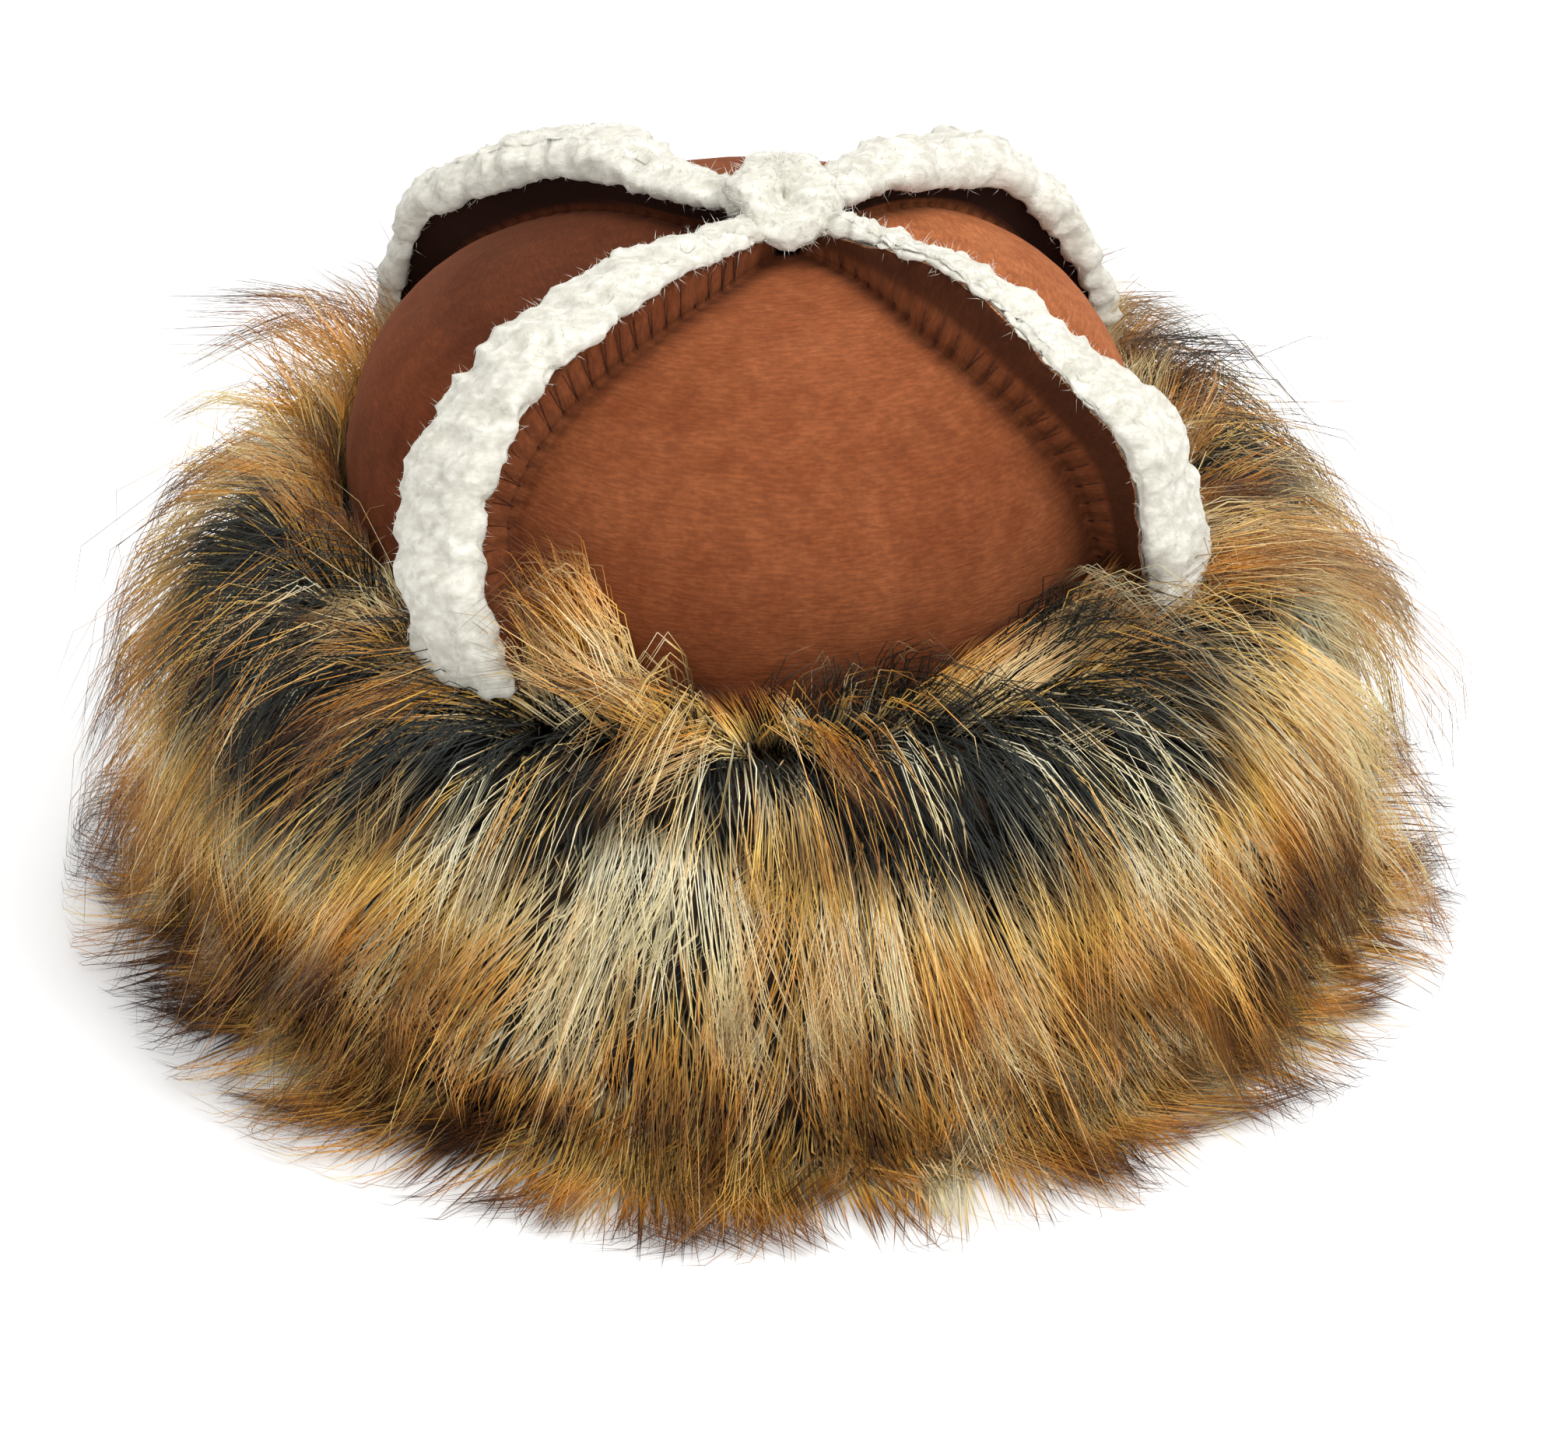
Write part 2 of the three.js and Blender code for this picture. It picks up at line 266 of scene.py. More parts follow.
def capped(points: Array) -> tuple[Array, list[Array]]:
    """A grid of rings, closed at both ends by fans round the middles of its first and last ring.

    Args:
        points: Rings by columns by 3.

    Returns:
        The vertices and the faces.
    """
    rows, columns = points.shape[:2]
    flat = np.concatenate([points.reshape(-1, 3), [points[0].mean(0), points[-1].mean(0)]])
    this, beside = np.arange(columns), (np.arange(columns) + 1) % columns
    last = (rows - 1) * columns
    start = np.stack([np.full(columns, rows * columns), beside, this], -1)
    end = np.stack([np.full(columns, rows * columns + 1), last + this, last + beside], -1)
    return flat, outward(flat, [ring_faces(rows, columns), start, end])


@dataclass
class Strands:
    """Tapered strands as closed tubes with three sides, pointed at both ends.

    Args:
        paths: Points along each strand, as strands by points by 3; the first and last are its ends.
        radii: The tube's radius at each inner point, for each strand.
        tone: The colour's place from pale to dark at each point, 0 to 1: the map's first number.
        band: The colour's place from root to tip at each point, 0 to 1: the map's second number.
    """

    paths: Array
    radii: Array
    tone: Array
    band: Array

    sides: int = 3
    map_width: float = 0.006
    aside: tuple[float, float, float] = (0.31, 0.52, 0.79)

    def build(self, name: str) -> bpy.types.Object:
        """One mesh for all strands: a ring round each inner point, square to the strand there.

        Args:
            name: The piece's name.

        Returns:
            The mesh object.
        """
        count, places = self.paths.shape[:2]
        inner = self.paths[:, 1:-1]
        ahead = unit(self.paths[:, 2:] - self.paths[:, :-2])
        side = unit(np.cross(ahead, np.array(self.aside)))
        other = np.cross(ahead, side)
        turn = (2 * np.pi * np.arange(self.sides) / self.sides)[:, None]
        ring = np.cos(turn) * side[:, :, None] + np.sin(turn) * other[:, :, None]
        ring = inner[:, :, None] + self.radii[:, :, None, None] * ring
        points = np.concatenate(
            [self.paths[:, :1], ring.reshape(count, -1, 3), self.paths[:, -1:]], axis=1)
        size, rings = points.shape[1], places - 2
        this, beside = np.arange(self.sides), (np.arange(self.sides) + 1) % self.sides
        first = 1 + self.sides * np.arange(rings - 1)[:, None]
        walls = np.stack([first + this, first + beside,
                          first + self.sides + beside, first + self.sides + this], -1).reshape(-1, 4)
        root = np.stack([np.zeros_like(this), 1 + beside, 1 + this], -1)
        end = 1 + self.sides * (rings - 1)
        tip = np.stack([end + this, end + beside, np.full_like(this, size - 1)], -1)
        start = (np.arange(count) * size)[:, None, None]
        quads = (start + walls).reshape(-1, 4)
        triangles = (start + np.concatenate([root, tip])).reshape(-1, 3)
        flat = points.reshape(-1, 3)
        uv = np.stack([self.at_corners(self.tone), self.at_corners(self.band)], -1)
        uv[..., 0] += np.concatenate([[0], np.tile(this - 1, rings), [0]]) * self.map_width
        return new_mesh(name, flat, outward(flat, [quads, triangles]), uv.reshape(-1, 2), STRAND_MAP)

    def at_corners(self, values: Array) -> Array:
        """Values at points given to every vertex of the tubes, held a little inside 0 to 1.

        Args:
            values: Values at the points of the paths.

        Returns:
            A value for each vertex.
        """
        values = np.broadcast_to(values, self.paths.shape[:2]) * 0.97 + 0.015
        ringed = np.repeat(values[:, 1:-1], self.sides, axis=1)
        return np.concatenate([values[:, :1], ringed, values[:, -1:]], axis=1)


# The crown's form, as the CAD model has it

@dataclass(frozen=True)
class CrownForm:
    """The crown's outer surface: straight walls, and a dome whose top leans towards the apex."""

    radius: float = 100
    centre_x: float = -6
    top_z: float = 176
    shoulder_z: float = 109
    hem_z: float = 3
    apex_x: float = 11
    apex_y: float = 2
    tip_radius: float = 7
    cloth: float = 2.2
    puff: float = 3
    half_gap: float = 0.2
    squareness: tuple[float, float, float] = (2.56, -0.2, -0.3)

    def share_at(self, z: float) -> float:
        """The share at a height on the straight wall: 0 at the shoulder and -1 at the hem."""
        return (z - self.shoulder_z) / (self.shoulder_z - self.hem_z)

    def power(self, azimuth: Array) -> Array:
        """2 over the squareness, which is a mean and parts that follow the cosine and the sine."""
        mean, front, right = self.squareness
        return 2 / (mean + front * np.cos(azimuth) + right * np.sin(azimuth))

    def point(self, azimuth: Array, share: Array) -> Array:
        """A point of the surface: a superellipse in section, shifted by the square of its lift.

        Args:
            azimuth: Radians from the front.
            share: From -1 at the hem to 0 at the shoulder and 1 at the tip.

        Returns:
            The points, with one more axis than the arguments.
        """
        power = self.power(azimuth)
        last = np.arccos((self.tip_radius / self.radius) ** (1 / power))
        angle = np.clip(share, 0, 1) * last
        lift = np.sin(angle) ** power
        below = np.minimum(share, 0) * (self.shoulder_z - self.hem_z)
        z = self.shoulder_z + below + lift * (self.top_z - self.shoulder_z)
        points = around(azimuth, self.radius * np.cos(angle) ** power, z)
        shift = np.array([self.apex_x, self.apex_y, 0]) * (lift * lift)[..., None]
        return points + shift + np.array([self.centre_x, 0, 0])

    def frame(self, azimuth: Array, share: Array) -> tuple[Array, Array, Array]:
        """The surface's point, its way out and its way round, from small steps each way.

        Args:
            azimuth: Radians from the front.
            share: From -1 at the hem to 1 at the tip.

        Returns:
            The point, the way out and the way round.
        """
        azimuth, share = np.broadcast_arrays(azimuth, share)
        step = 0.004
        inside = np.clip(share, -1, 1 - step)
        round_way = unit(self.point(azimuth + step, share) - self.point(azimuth - step, share))
        up = unit(self.point(azimuth, inside + step) - self.point(azimuth, inside - step))
        return self.point(azimuth, share), unit(np.cross(round_way, up)), round_way

    def radius_at(self, azimuth: Array, z: Array) -> Array:
        """The wall's distance from the crown's axis at a height, by solving the section for it.

        Args:
            azimuth: Radians from the front.
            z: The height.

        Returns:
            The distance.
        """
        lift = np.clip((z - self.shoulder_z) / (self.top_z - self.shoulder_z), 0, 1)
        power = self.power(azimuth)
        return self.radius * np.maximum(1 - lift ** (2 / power), 0) ** (power / 2)


@dataclass(frozen=True)
class Seam:
    """A seam whose two cloth edges stand out of the crown, with values from shoulder to tip.

    Args:
        name: Its place on the crown.
        azimuth: Degrees from the front.
        height: How far the edges stand up.
        before: How far the free edge of the panel before it has spread from the seam's plane.
        after: The same for the panel after it.
        pile: How far the fleece stands over the free edges.
        overhang: How far the fleece passes the cloth before and after the seam.
        sag: How far the fleece hangs down past the free edges there.
        scallop: How far the free edges wave.
        stitched: The share of the height that the thread crosses, before and after the seam.
        dark: Painted shade and darker nap on the turned edge past its stitches, before and after the seam.
    """

    name: str
    azimuth: tuple[float, ...]
    height: tuple[float, ...]
    before: tuple[float, ...]
    after: tuple[float, ...]
    pile: tuple[float, ...]
    overhang: tuple[float, float]
    sag: tuple[float, float]
    scallop: float
    stitched: tuple[float, float]
    dark: tuple[float, float]

    edge_lip: float = 0.4
    fade_z: float = 104
    start_z: float = 110

    def turn(self, share: Array) -> Array:
        """The seam's azimuth in radians."""
        return np.radians(spline(self.azimuth, share))

    def shown(self, crown: CrownForm, share: Array) -> Array:
        """0 under the fur, where the edges lie flat, and 1 above it."""
        return smooth(share, crown.share_at(self.fade_z), crown.share_at(self.start_z))

    def stand(self, crown: CrownForm, share: Array) -> Array:
        """The height of the free edges, with slow waves of 7 parts in 100.

        Args:
            crown: The crown that it stands on.
            share: Places along it.

        Returns:
            The height.
        """
        wave = 1 + 0.07 * np.sin(17 * share + self.azimuth[0])
        full = spline(self.height, share) * wave
        return self.edge_lip + self.shown(crown, share) * (full - self.edge_lip)

    def spread(self, crown: CrownForm, side: int, share: Array, level: Array) -> Array:
        """A free edge's distance from the seam's plane: its full spread by level to the power 1.6."""
        full = spline(self.before if side < 0 else self.after, share)
        return crown.half_gap + self.shown(crown, share) * full * np.asarray(level) ** 1.6

    def point(self, crown: CrownForm, share: Array, height: Array, distance: Array) -> Array:
        """A point at a height out of the crown and a signed distance round from the seam."""
        place, out, round_way = crown.frame(self.turn(share), share)
        return place + out * np.asarray(height)[..., None] + round_way * np.asarray(distance)[..., None]


# The last pair of each seam is the painted shade, with darker nap, on its turned edges.
SEAMS = {
    seam.name: seam
    for seam in (
        Seam("front_right", (53, 50, 43, 37, 43), (17, 19, 20, 16.5, 6), (8, 5, 0, -2, 1.5),
             (12, 12, 8.5, 5, 1.5), (8, 6.5, 2, 1, 4.5), (0.3, 1.0), (0, 1.5), 0.3,
             (0.42, 0.5), (0.8, 0.6)),
        Seam("back_right", (118, 120, 122, 126, 126), (13, 12, 11, 9, 6), (6, 5, 2, 2, 1.5),
             (8, 10, 12, 9, 1.5), (7, 8, 8, 6, 4.5), (2.6, 3.0), (3.5, 0), 1.3, (0.0, 0.6), (1.0, 0.5)),
        Seam("back_left", (222, 226, 230, 227, 232), (13, 13, 13, 11, 6), (8, 10, 13, 10, 1.5),
             (6, 4, 1, 1, 1.5), (7, 7, 7, 5, 4.5), (3.0, 2.6), (0, 3.5), 1.1, (0.6, 0.0), (0.5, 1.0)),
        Seam("front_left", (320, 313, 312, 315, 320), (17, 17, 16, 14, 6), (12.5, 13, 11, 9.5, 1.5),
             (5, 3, 2, 1, 1.5), (6, 6, 5, 4, 4.5), (1.2, 1.0), (0, 0.8), 0.2, (0.5, 0.8), (0.6, 0.62)),
    )
}


# Shader building

def paint(colour: Colour) -> tuple[float, float, float, float]:
    """A colour of 0 to 255 in each channel as the linear values that a socket takes.

    Args:
        colour: Red, green and blue.

    Returns:
        The linear values, with an alpha of 1.
    """
    shares = [c / 255 for c in colour]
    linear = [s / 12.92 if s <= 0.04045 else ((s + 0.055) / 1.055) ** 2.4 for s in shares]
    return (*linear, 1.0)


class Tree:
    """A node tree, with short calls that add nodes and join them."""

    def __init__(self, nodes: bpy.types.NodeTree) -> None:
        """Keeps the tree that the calls add to."""
        self.nodes = nodes

    def add(self, kind: str, sockets: dict | None = None, **settings: object) -> bpy.types.Node:
        """Adds a node.

        Args:
            kind: The node's type without its ShaderNode prefix.
            sockets: What each input holds: a value, or another node's output.
            settings: The node's own properties.

        Returns:
            The node.
        """
        node = self.nodes.nodes.new("ShaderNode" + kind)
        for key, value in settings.items():
            setattr(node, key, value)
        for key, value in (sockets or {}).items():
            if isinstance(value, bpy.types.NodeSocket):
                self.nodes.links.new(value, node.inputs[key])
            else:
                node.inputs[key].default_value = value
        return node

    def maths(self, operation: str, first: object, second: object = 0.0, **settings: object) -> object:
        """The output of a Math node over two values or outputs."""
        return self.add("Math", {0: first, 1: second}, operation=operation, **settings).outputs[0]

    def mix(self, factor: object, first: object, second: object) -> object:
        """The colour output of a Mix node between two colours."""
        return self.add("Mix", {0: factor, 6: first, 7: second}, data_type="RGBA").outputs[2]

    def ramp(self, factor: object, stops: Sequence[tuple[float, Colour]]) -> object:
        """The colour output of a ramp with the given stops.

        Args:
            factor: What the ramp reads.
            stops: Places from 0 to 1 with their colours.

        Returns:
            The output.
        """
        node = self.add("ValToRGB", {"Fac": factor})
        bands = node.color_ramp.elements
        while len(bands) < len(stops):
            bands.new(1.0)
        for band, (place, colour) in zip(bands, stops):
            band.position, band.color = place, paint(colour)
        return node.outputs["Color"]

    def group(self, group: bpy.types.NodeTree, sockets: dict) -> bpy.types.Node:
        """A group node with its inputs filled.

        Args:
            group: The group.
            sockets: What each of its inputs holds.

        Returns:
            The node.
        """
        return self.add("Group", sockets, node_tree=group)


class Effects:
    """The effects that several materials share, each a node group that is made once."""

    def __init__(self) -> None:
        """Builds every group."""
        self.mottle = self.make_mottle()
        self.nap = self.make_nap()

    @staticmethod
    def begin(name: str, inputs: dict[str, float | None], outputs: Sequence[str]) -> Tree:
        """A group with a vector input, number inputs and number outputs.

        Args:
            name: The group's name.
            inputs: Its inputs, with None for a vector.
            outputs: Its outputs.

        Returns:
            The group's tree.
        """
        group = bpy.data.node_groups.new(name, "ShaderNodeTree")
        for title, value in inputs.items():
            kind = "NodeSocketVector" if value is None else "NodeSocketFloat"
            made = group.interface.new_socket(name=title, in_out="INPUT", socket_type=kind)
            if value is not None:
                made.default_value = value
        for title in outputs:
            group.interface.new_socket(name=title, in_out="OUTPUT", socket_type="NodeSocketFloat")
        return Tree(group)

    def make_mottle(self) -> bpy.types.NodeTree:
        """Uneven tone: large and small cloudy noise, added and stretched about a half.

        Returns:
            The group.
        """
        tree = self.begin("Mottle", {"Vector": None, "Scale": 40.0, "Fine": 5.0, "Contrast": 1.5}, ["Mask"])
        given, out = tree.nodes.nodes.new("NodeGroupInput"), tree.nodes.nodes.new("NodeGroupOutput")
        fine = tree.maths("MULTIPLY", given.outputs["Scale"], given.outputs["Fine"])
        clouds = [tree.add("TexNoise", {"Vector": given.outputs["Vector"], "Scale": scale, "Detail": 2.0})
                  for scale in (given.outputs["Scale"], fine)]
        both = tree.maths("ADD", clouds[0].outputs[0], clouds[1].outputs[0])
        centred = tree.maths("SUBTRACT", both, 1.0)
        spread = tree.maths("MULTIPLY", centred, given.outputs["Contrast"])
        tree.nodes.links.new(tree.maths("ADD", spread, 0.5, use_clamp=True), out.inputs["Mask"])
        return tree.nodes

    def make_nap(self) -> bpy.types.NodeTree:
        """Short fibres lying one way: noise that is stretched along the vector's X, at two sizes.

        Returns:
            The group.
        """
        tree = self.begin("Nap", {"Vector": None, "Scale": 900.0, "Stretch": 5.0}, ["Height", "Streak"])
        given, out = tree.nodes.nodes.new("NodeGroupInput"), tree.nodes.nodes.new("NodeGroupOutput")
        parts = tree.add("SeparateXYZ", {0: given.outputs["Vector"]})
        shortened = tree.maths("DIVIDE", parts.outputs["X"], given.outputs["Stretch"])
        joined = tree.add("CombineXYZ", {"X": shortened, "Y": parts.outputs["Y"], "Z": parts.outputs["Z"]})
        coarse = tree.maths("MULTIPLY", given.outputs["Scale"], 0.7)
        noise = [tree.add("TexNoise", {"Vector": joined.outputs[0], "Scale": scale, "Detail": 3.0})
                 for scale in (given.outputs["Scale"], coarse)]
        tree.nodes.links.new(noise[0].outputs[0], out.inputs["Height"])
        streak = tree.maths("SUBTRACT", noise[1].outputs[0], 0.42)
        streak = tree.maths("MULTIPLY", streak, 5.0, use_clamp=True)
        tree.nodes.links.new(streak, out.inputs["Streak"])
        return tree.nodes


class Finish:
    """A finish: its colours and sizes are fields, and its material is made from them once."""

    name: str = "finish"

    def material(self, effects: Effects) -> bpy.types.Material:
        """The material of this finish.

        Args:
            effects: The shared effects.

        Returns:
            The material.
        """
        made = bpy.data.materials.new(self.name)
        made.use_nodes = True
        made.node_tree.nodes.clear()
        tree = Tree(made.node_tree)
        shader = self.shade(tree, effects)
        tree.add("OutputMaterial", {"Surface": shader.outputs[0]})
        return made

    def shade(self, tree: Tree, effects: Effects) -> bpy.types.Node:
        """The finish's Principled BSDF."""
        raise NotImplementedError


def object_place(tree: Tree) -> object:
    """The Object coordinates output."""
    return tree.add("TexCoord").outputs["Object"]


def map_parts(tree: Tree, uv_map: str) -> bpy.types.Node:
    """A node that gives the numbers of a UV map apart, as X and Y."""
    return tree.add("SeparateXYZ", {0: tree.add("UVMap", uv_map=uv_map).outputs[0]})


@dataclass(frozen=True)
class Suede(Finish):
    """Napped suede: mottled tone, short strokes of nap along the cloth, and a soft sheen."""

    name: str = "suede"
    shadow: Colour = (30, 13, 8)
    deep: Colour = (76, 34, 17)
    body: Colour = (132, 70, 38)
    bright: Colour = (158, 92, 55)
    nap_scale: float = 1500.0
    nap_depth: float = 0.0004
    spot_share: float = 0.22
    stroke_share: float = 0.3

    def shade(self, tree: Tree, effects: Effects) -> bpy.types.Node:
        """Mixes deep, body and bright by mottle and nap, paints in shade, and raises the nap as a bump.

        Args:
            tree: The nodes.
            effects: Shared effects.

        Returns:
            The shader.
        """
        place = object_place(tree)
        cloth = tree.add("UVMap", uv_map=CLOTH_MAP).outputs[0]
        clouds = tree.group(effects.mottle, {"Vector": place, "Scale": 24.0, "Fine": 5.0, "Contrast": 1.5})
        nap = tree.group(effects.nap, {"Vector": cloth, "Scale": self.nap_scale, "Stretch": 4.0})
        tone = tree.mix(clouds.outputs["Mask"], paint(self.body), paint(self.bright))
        spots = tree.group(effects.mottle, {"Vector": place, "Scale": 210.0, "Fine": 4.0, "Contrast": 2.2})
        dull = tree.maths("MULTIPLY", spots.outputs["Mask"], self.spot_share)
        tone = tree.mix(dull, tone, paint(self.deep))
        between = tree.maths("SUBTRACT", 1.0, nap.outputs["Streak"])
        stroke = tree.maths("MULTIPLY", between, self.stroke_share)
        tone = tree.mix(stroke, tone, paint(self.deep))
        # Painted shade: the shade attribute darkens the suede towards its shadow colour.
        shade = tree.add("Attribute", attribute_name=SHADE, attribute_type="GEOMETRY").outputs["Fac"]
        tone = tree.mix(shade, tone, paint(self.shadow))
        raised = tree.add("Bump", {"Strength": 0.75, "Distance": self.nap_depth,
                                   "Height": nap.outputs["Height"]})
        return tree.add("BsdfPrincipled", {
            "Base Color": tone, "Roughness": 0.93, "Normal": raised.outputs[0],
            "Specular IOR Level": 0.1, "Sheen Weight": 0.16, "Sheen Roughness": 0.45,
            "Sheen Tint": paint((224, 150, 112))})


@dataclass(frozen=True)
class CutEdge(Finish):
    """The raw cut edge of the suede: paler, mottled with brown."""

    name: str = "cut_edge"
    pale: Colour = (196, 150, 112)
    brown: Colour = (118, 66, 42)

    def shade(self, tree: Tree, effects: Effects) -> bpy.types.Node:
        """Mixes brown and pale by fine mottle.

        Args:
            tree: The nodes.
            effects: Shared effects.

        Returns:
            The shader.
        """
        clouds = tree.group(effects.mottle, {"Vector": object_place(tree), "Scale": 600.0, "Fine": 3.0,
                                             "Contrast": 3.0})
        tone = tree.mix(clouds.outputs["Mask"], paint(self.brown), paint(self.pale))
        return tree.add("BsdfPrincipled", {"Base Color": tone, "Roughness": 0.95,
                                           "Specular IOR Level": 0.1})


@dataclass(frozen=True)
class Pile(Finish):
    """Creamy fleece: curly relief as a bump, with painted shade greying its hollows by noise."""

    name: str = "fleece_pile"
    pale: Colour = (221, 219, 208)
    hollow_shade: Colour = (184, 180, 167)
    curl_scale: float = 520.0
    curl_depth: float = 0.0012

    def shade(self, tree: Tree, effects: Effects) -> bpy.types.Node:
        """Mixes the painted hollow shade and pale by curls and mottle, and raises the curls as a bump.

        Args:
            tree: The nodes.
            effects: Shared effects.

        Returns:
            The shader.
        """
        place = object_place(tree)
        clouds = tree.group(effects.mottle, {"Vector": place, "Scale": 120.0, "Fine": 4.0, "Contrast": 1.6})
        curls = tree.group(effects.nap, {"Vector": place, "Scale": self.curl_scale, "Stretch": 2.0})
        # Painted shade: where this is low, the hollow shade greys the fleece.
        light = tree.maths("ADD", tree.maths("MULTIPLY", clouds.outputs["Mask"], 0.6),
                           tree.maths("MULTIPLY", curls.outputs["Streak"], 0.5), use_clamp=True)
        tone = tree.mix(light, paint(self.hollow_shade), paint(self.pale))
        raised = tree.add("Bump", {"Strength": 0.4, "Distance": self.curl_depth,
                                   "Height": curls.outputs["Height"]})
        return tree.add("BsdfPrincipled", {
            "Base Color": tone, "Roughness": 0.9, "Normal": raised.outputs[0],
            "Specular IOR Level": 0.2, "Sheen Weight": 0.2, "Sheen Roughness": 0.5})


@dataclass(frozen=True)
class PileFibre(Finish):
    """Loose fibres of the fleece, brighter towards their tips."""

    name: str = "fleece_fibre"
    root: Colour = (206, 202, 188)
    tip: Colour = (240, 238, 228)

    def shade(self, tree: Tree, effects: Effects) -> bpy.types.Node:
        """Runs from root to tip along each fibre.

        Args:
            tree: The nodes.
            effects: Shared effects.

        Returns:
            The shader.
        """
        place = map_parts(tree, STRAND_MAP)
        tone = tree.ramp(place.outputs["Y"], [(0.0, self.root), (1.0, self.tip)])
        return tree.add("BsdfPrincipled", {"Base Color": tone, "Roughness": 0.8, "Specular IOR Level": 0.2})


@dataclass(frozen=True)
class Thread(Finish):
    """Dark brown sewing thread with a slight gloss."""

    name: str = "thread"
    dark: Colour = (44, 22, 15)
    light: Colour = (92, 50, 34)

    def shade(self, tree: Tree, effects: Effects) -> bpy.types.Node:
        """Mixes dark and light by a fine twist.

        Args:
            tree: The nodes.
            effects: Shared effects.

        Returns:
            The shader.
        """
        twist = tree.group(effects.nap, {"Vector": object_place(tree), "Scale": 2200.0, "Stretch": 1.0})
        tone = tree.mix(twist.outputs["Streak"], paint(self.dark), paint(self.light))
        return tree.add("BsdfPrincipled", {"Base Color": tone, "Roughness": 0.55,
                                           "Specular IOR Level": 0.35})


Bands = Sequence[tuple[float, Colour]]


@dataclass(frozen=True)
class Hair(Finish):
    """Banded fur hair: bands from root to tip for pale, golden and dark hair, mixed by each one's tone."""

    name: str = "fur_hair"
    pale: Bands = ((0.0, (30, 33, 32)), (0.19, (54, 58, 54)), (0.28, (178, 170, 138)),
                   (0.44, (252, 249, 224)), (0.76, (246, 230, 170)), (1.0, (170, 124, 70)))
    golden: Bands = ((0.0, (26, 28, 26)), (0.19, (46, 46, 40)), (0.29, (180, 152, 104)),
                     (0.43, (252, 212, 112)), (0.66, (232, 158, 60)), (0.84, (112, 62, 30)),
                     (1.0, (46, 26, 18)))
    dark: Bands = ((0.0, (24, 26, 25)), (0.2, (36, 35, 30)), (0.34, (118, 80, 44)),
                   (0.48, (122, 68, 32)), (0.66, (52, 29, 17)), (1.0, (20, 13, 11)))
    roughness: float = 0.42

    def shade(self, tree: Tree, effects: Effects) -> bpy.types.Node:
        """Reads tone across and length along the strand map, and mixes the three bands.

        Args:
            tree: The nodes.
            effects: Shared effects.

        Returns:
            The shader.
        """
        place = map_parts(tree, STRAND_MAP)
        tone, along = place.outputs["X"], place.outputs["Y"]
        light = tree.ramp(along, self.pale)
        middle = tree.ramp(along, self.golden)
        deep = tree.ramp(along, self.dark)
        early = tree.maths("MULTIPLY", tone, 2.0, use_clamp=True)
        late = tree.maths("SUBTRACT", tree.maths("MULTIPLY", tone, 2.0), 1.0, use_clamp=True)
        colour = tree.mix(late, tree.mix(early, light, middle), deep)
        return tree.add("BsdfPrincipled", {"Base Color": colour, "Roughness": self.roughness,
                                           "Specular IOR Level": 0.32})


@dataclass(frozen=True)
class Undercoat(Finish):
    """The dense wool under the hair: charcoal and brown, streaked along the fur."""

    name: str = "fur_undercoat"
    charcoal: Colour = (38, 41, 41)
    brown: Colour = (96, 68, 44)
    streak_scale: float = 330.0

    def shade(self, tree: Tree, effects: Effects) -> bpy.types.Node:
        """Mixes charcoal and brown by streaks along the map's second number.

        Args:
            tree: The nodes.
            effects: Shared effects.

        Returns:
            The shader.
        """
        place = map_parts(tree, CLOTH_MAP)
        turned = tree.add("CombineXYZ", {"X": place.outputs["Y"], "Y": place.outputs["X"]})
        streaks = tree.group(effects.nap, {"Vector": turned.outputs[0], "Scale": self.streak_scale,
                                           "Stretch": 14.0})
        clouds = tree.group(effects.mottle, {"Vector": object_place(tree), "Scale": 26.0, "Fine": 4.0,
                                             "Contrast": 1.8})
        share = tree.maths("MULTIPLY", streaks.outputs["Streak"], clouds.outputs["Mask"])
        tone = tree.mix(share, paint(self.charcoal), paint(self.brown))
        raised = tree.add("Bump", {"Strength": 0.8, "Distance": 0.002, "Height": streaks.outputs["Height"]})
        return tree.add("BsdfPrincipled", {"Base Color": tone, "Roughness": 0.85,
                                           "Normal": raised.outputs[0], "Specular IOR Level": 0.15})


def dress(piece: bpy.types.Object, nodes: Sequence[str],
          materials: Sequence[bpy.types.Material]) -> bpy.types.Object:
    """Gives a piece its materials and its body, and hides the CAD nodes that it stands for.

    Args:
        piece: The piece.
        nodes: The CAD nodes that it replaces.
        materials: Its materials, in the order of its slots.

    Returns:
        The same piece.
    """
    for material in materials:
        piece.data.materials.append(material)
    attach(piece, BODY)
    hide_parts(*nodes)
    count = sum(len(face.vertices) - 2 for face in piece.data.polygons)
    LOG.info("%s: %d triangles", piece.name, count)
    return piece


# Crown panels

@dataclass(frozen=True)
class Crease:
    """A soft valley or dent in a panel, along a line between two places on the crown.

    Args:
        start: Azimuth in degrees and share of the dome at one end.
        end: The same at the other end.
        width: How wide it is, in millimetres.
        depth: How deep it is.
    """

    start: tuple[float, float]
    end: tuple[float, float]
    width: float
    depth: float

    def fall(self, crown: CrownForm, points: Array) -> Array:
        """Depth by a bell curve of the distance to the line between its two ends.

        Args:
            crown: The crown.
            points: Places near it.

        Returns:
            How far each place sinks.
        """
        first, last = (crown.point(np.radians(a), np.array(s)) for a, s in (self.start, self.end))
        way = last - first
        share = np.clip(((points - first) @ way) / (way @ way), 0, 1)
        gap = np.linalg.norm(points - first - share[..., None] * way, axis=-1)
        return self.depth * np.exp(-((gap / self.width) ** 2))


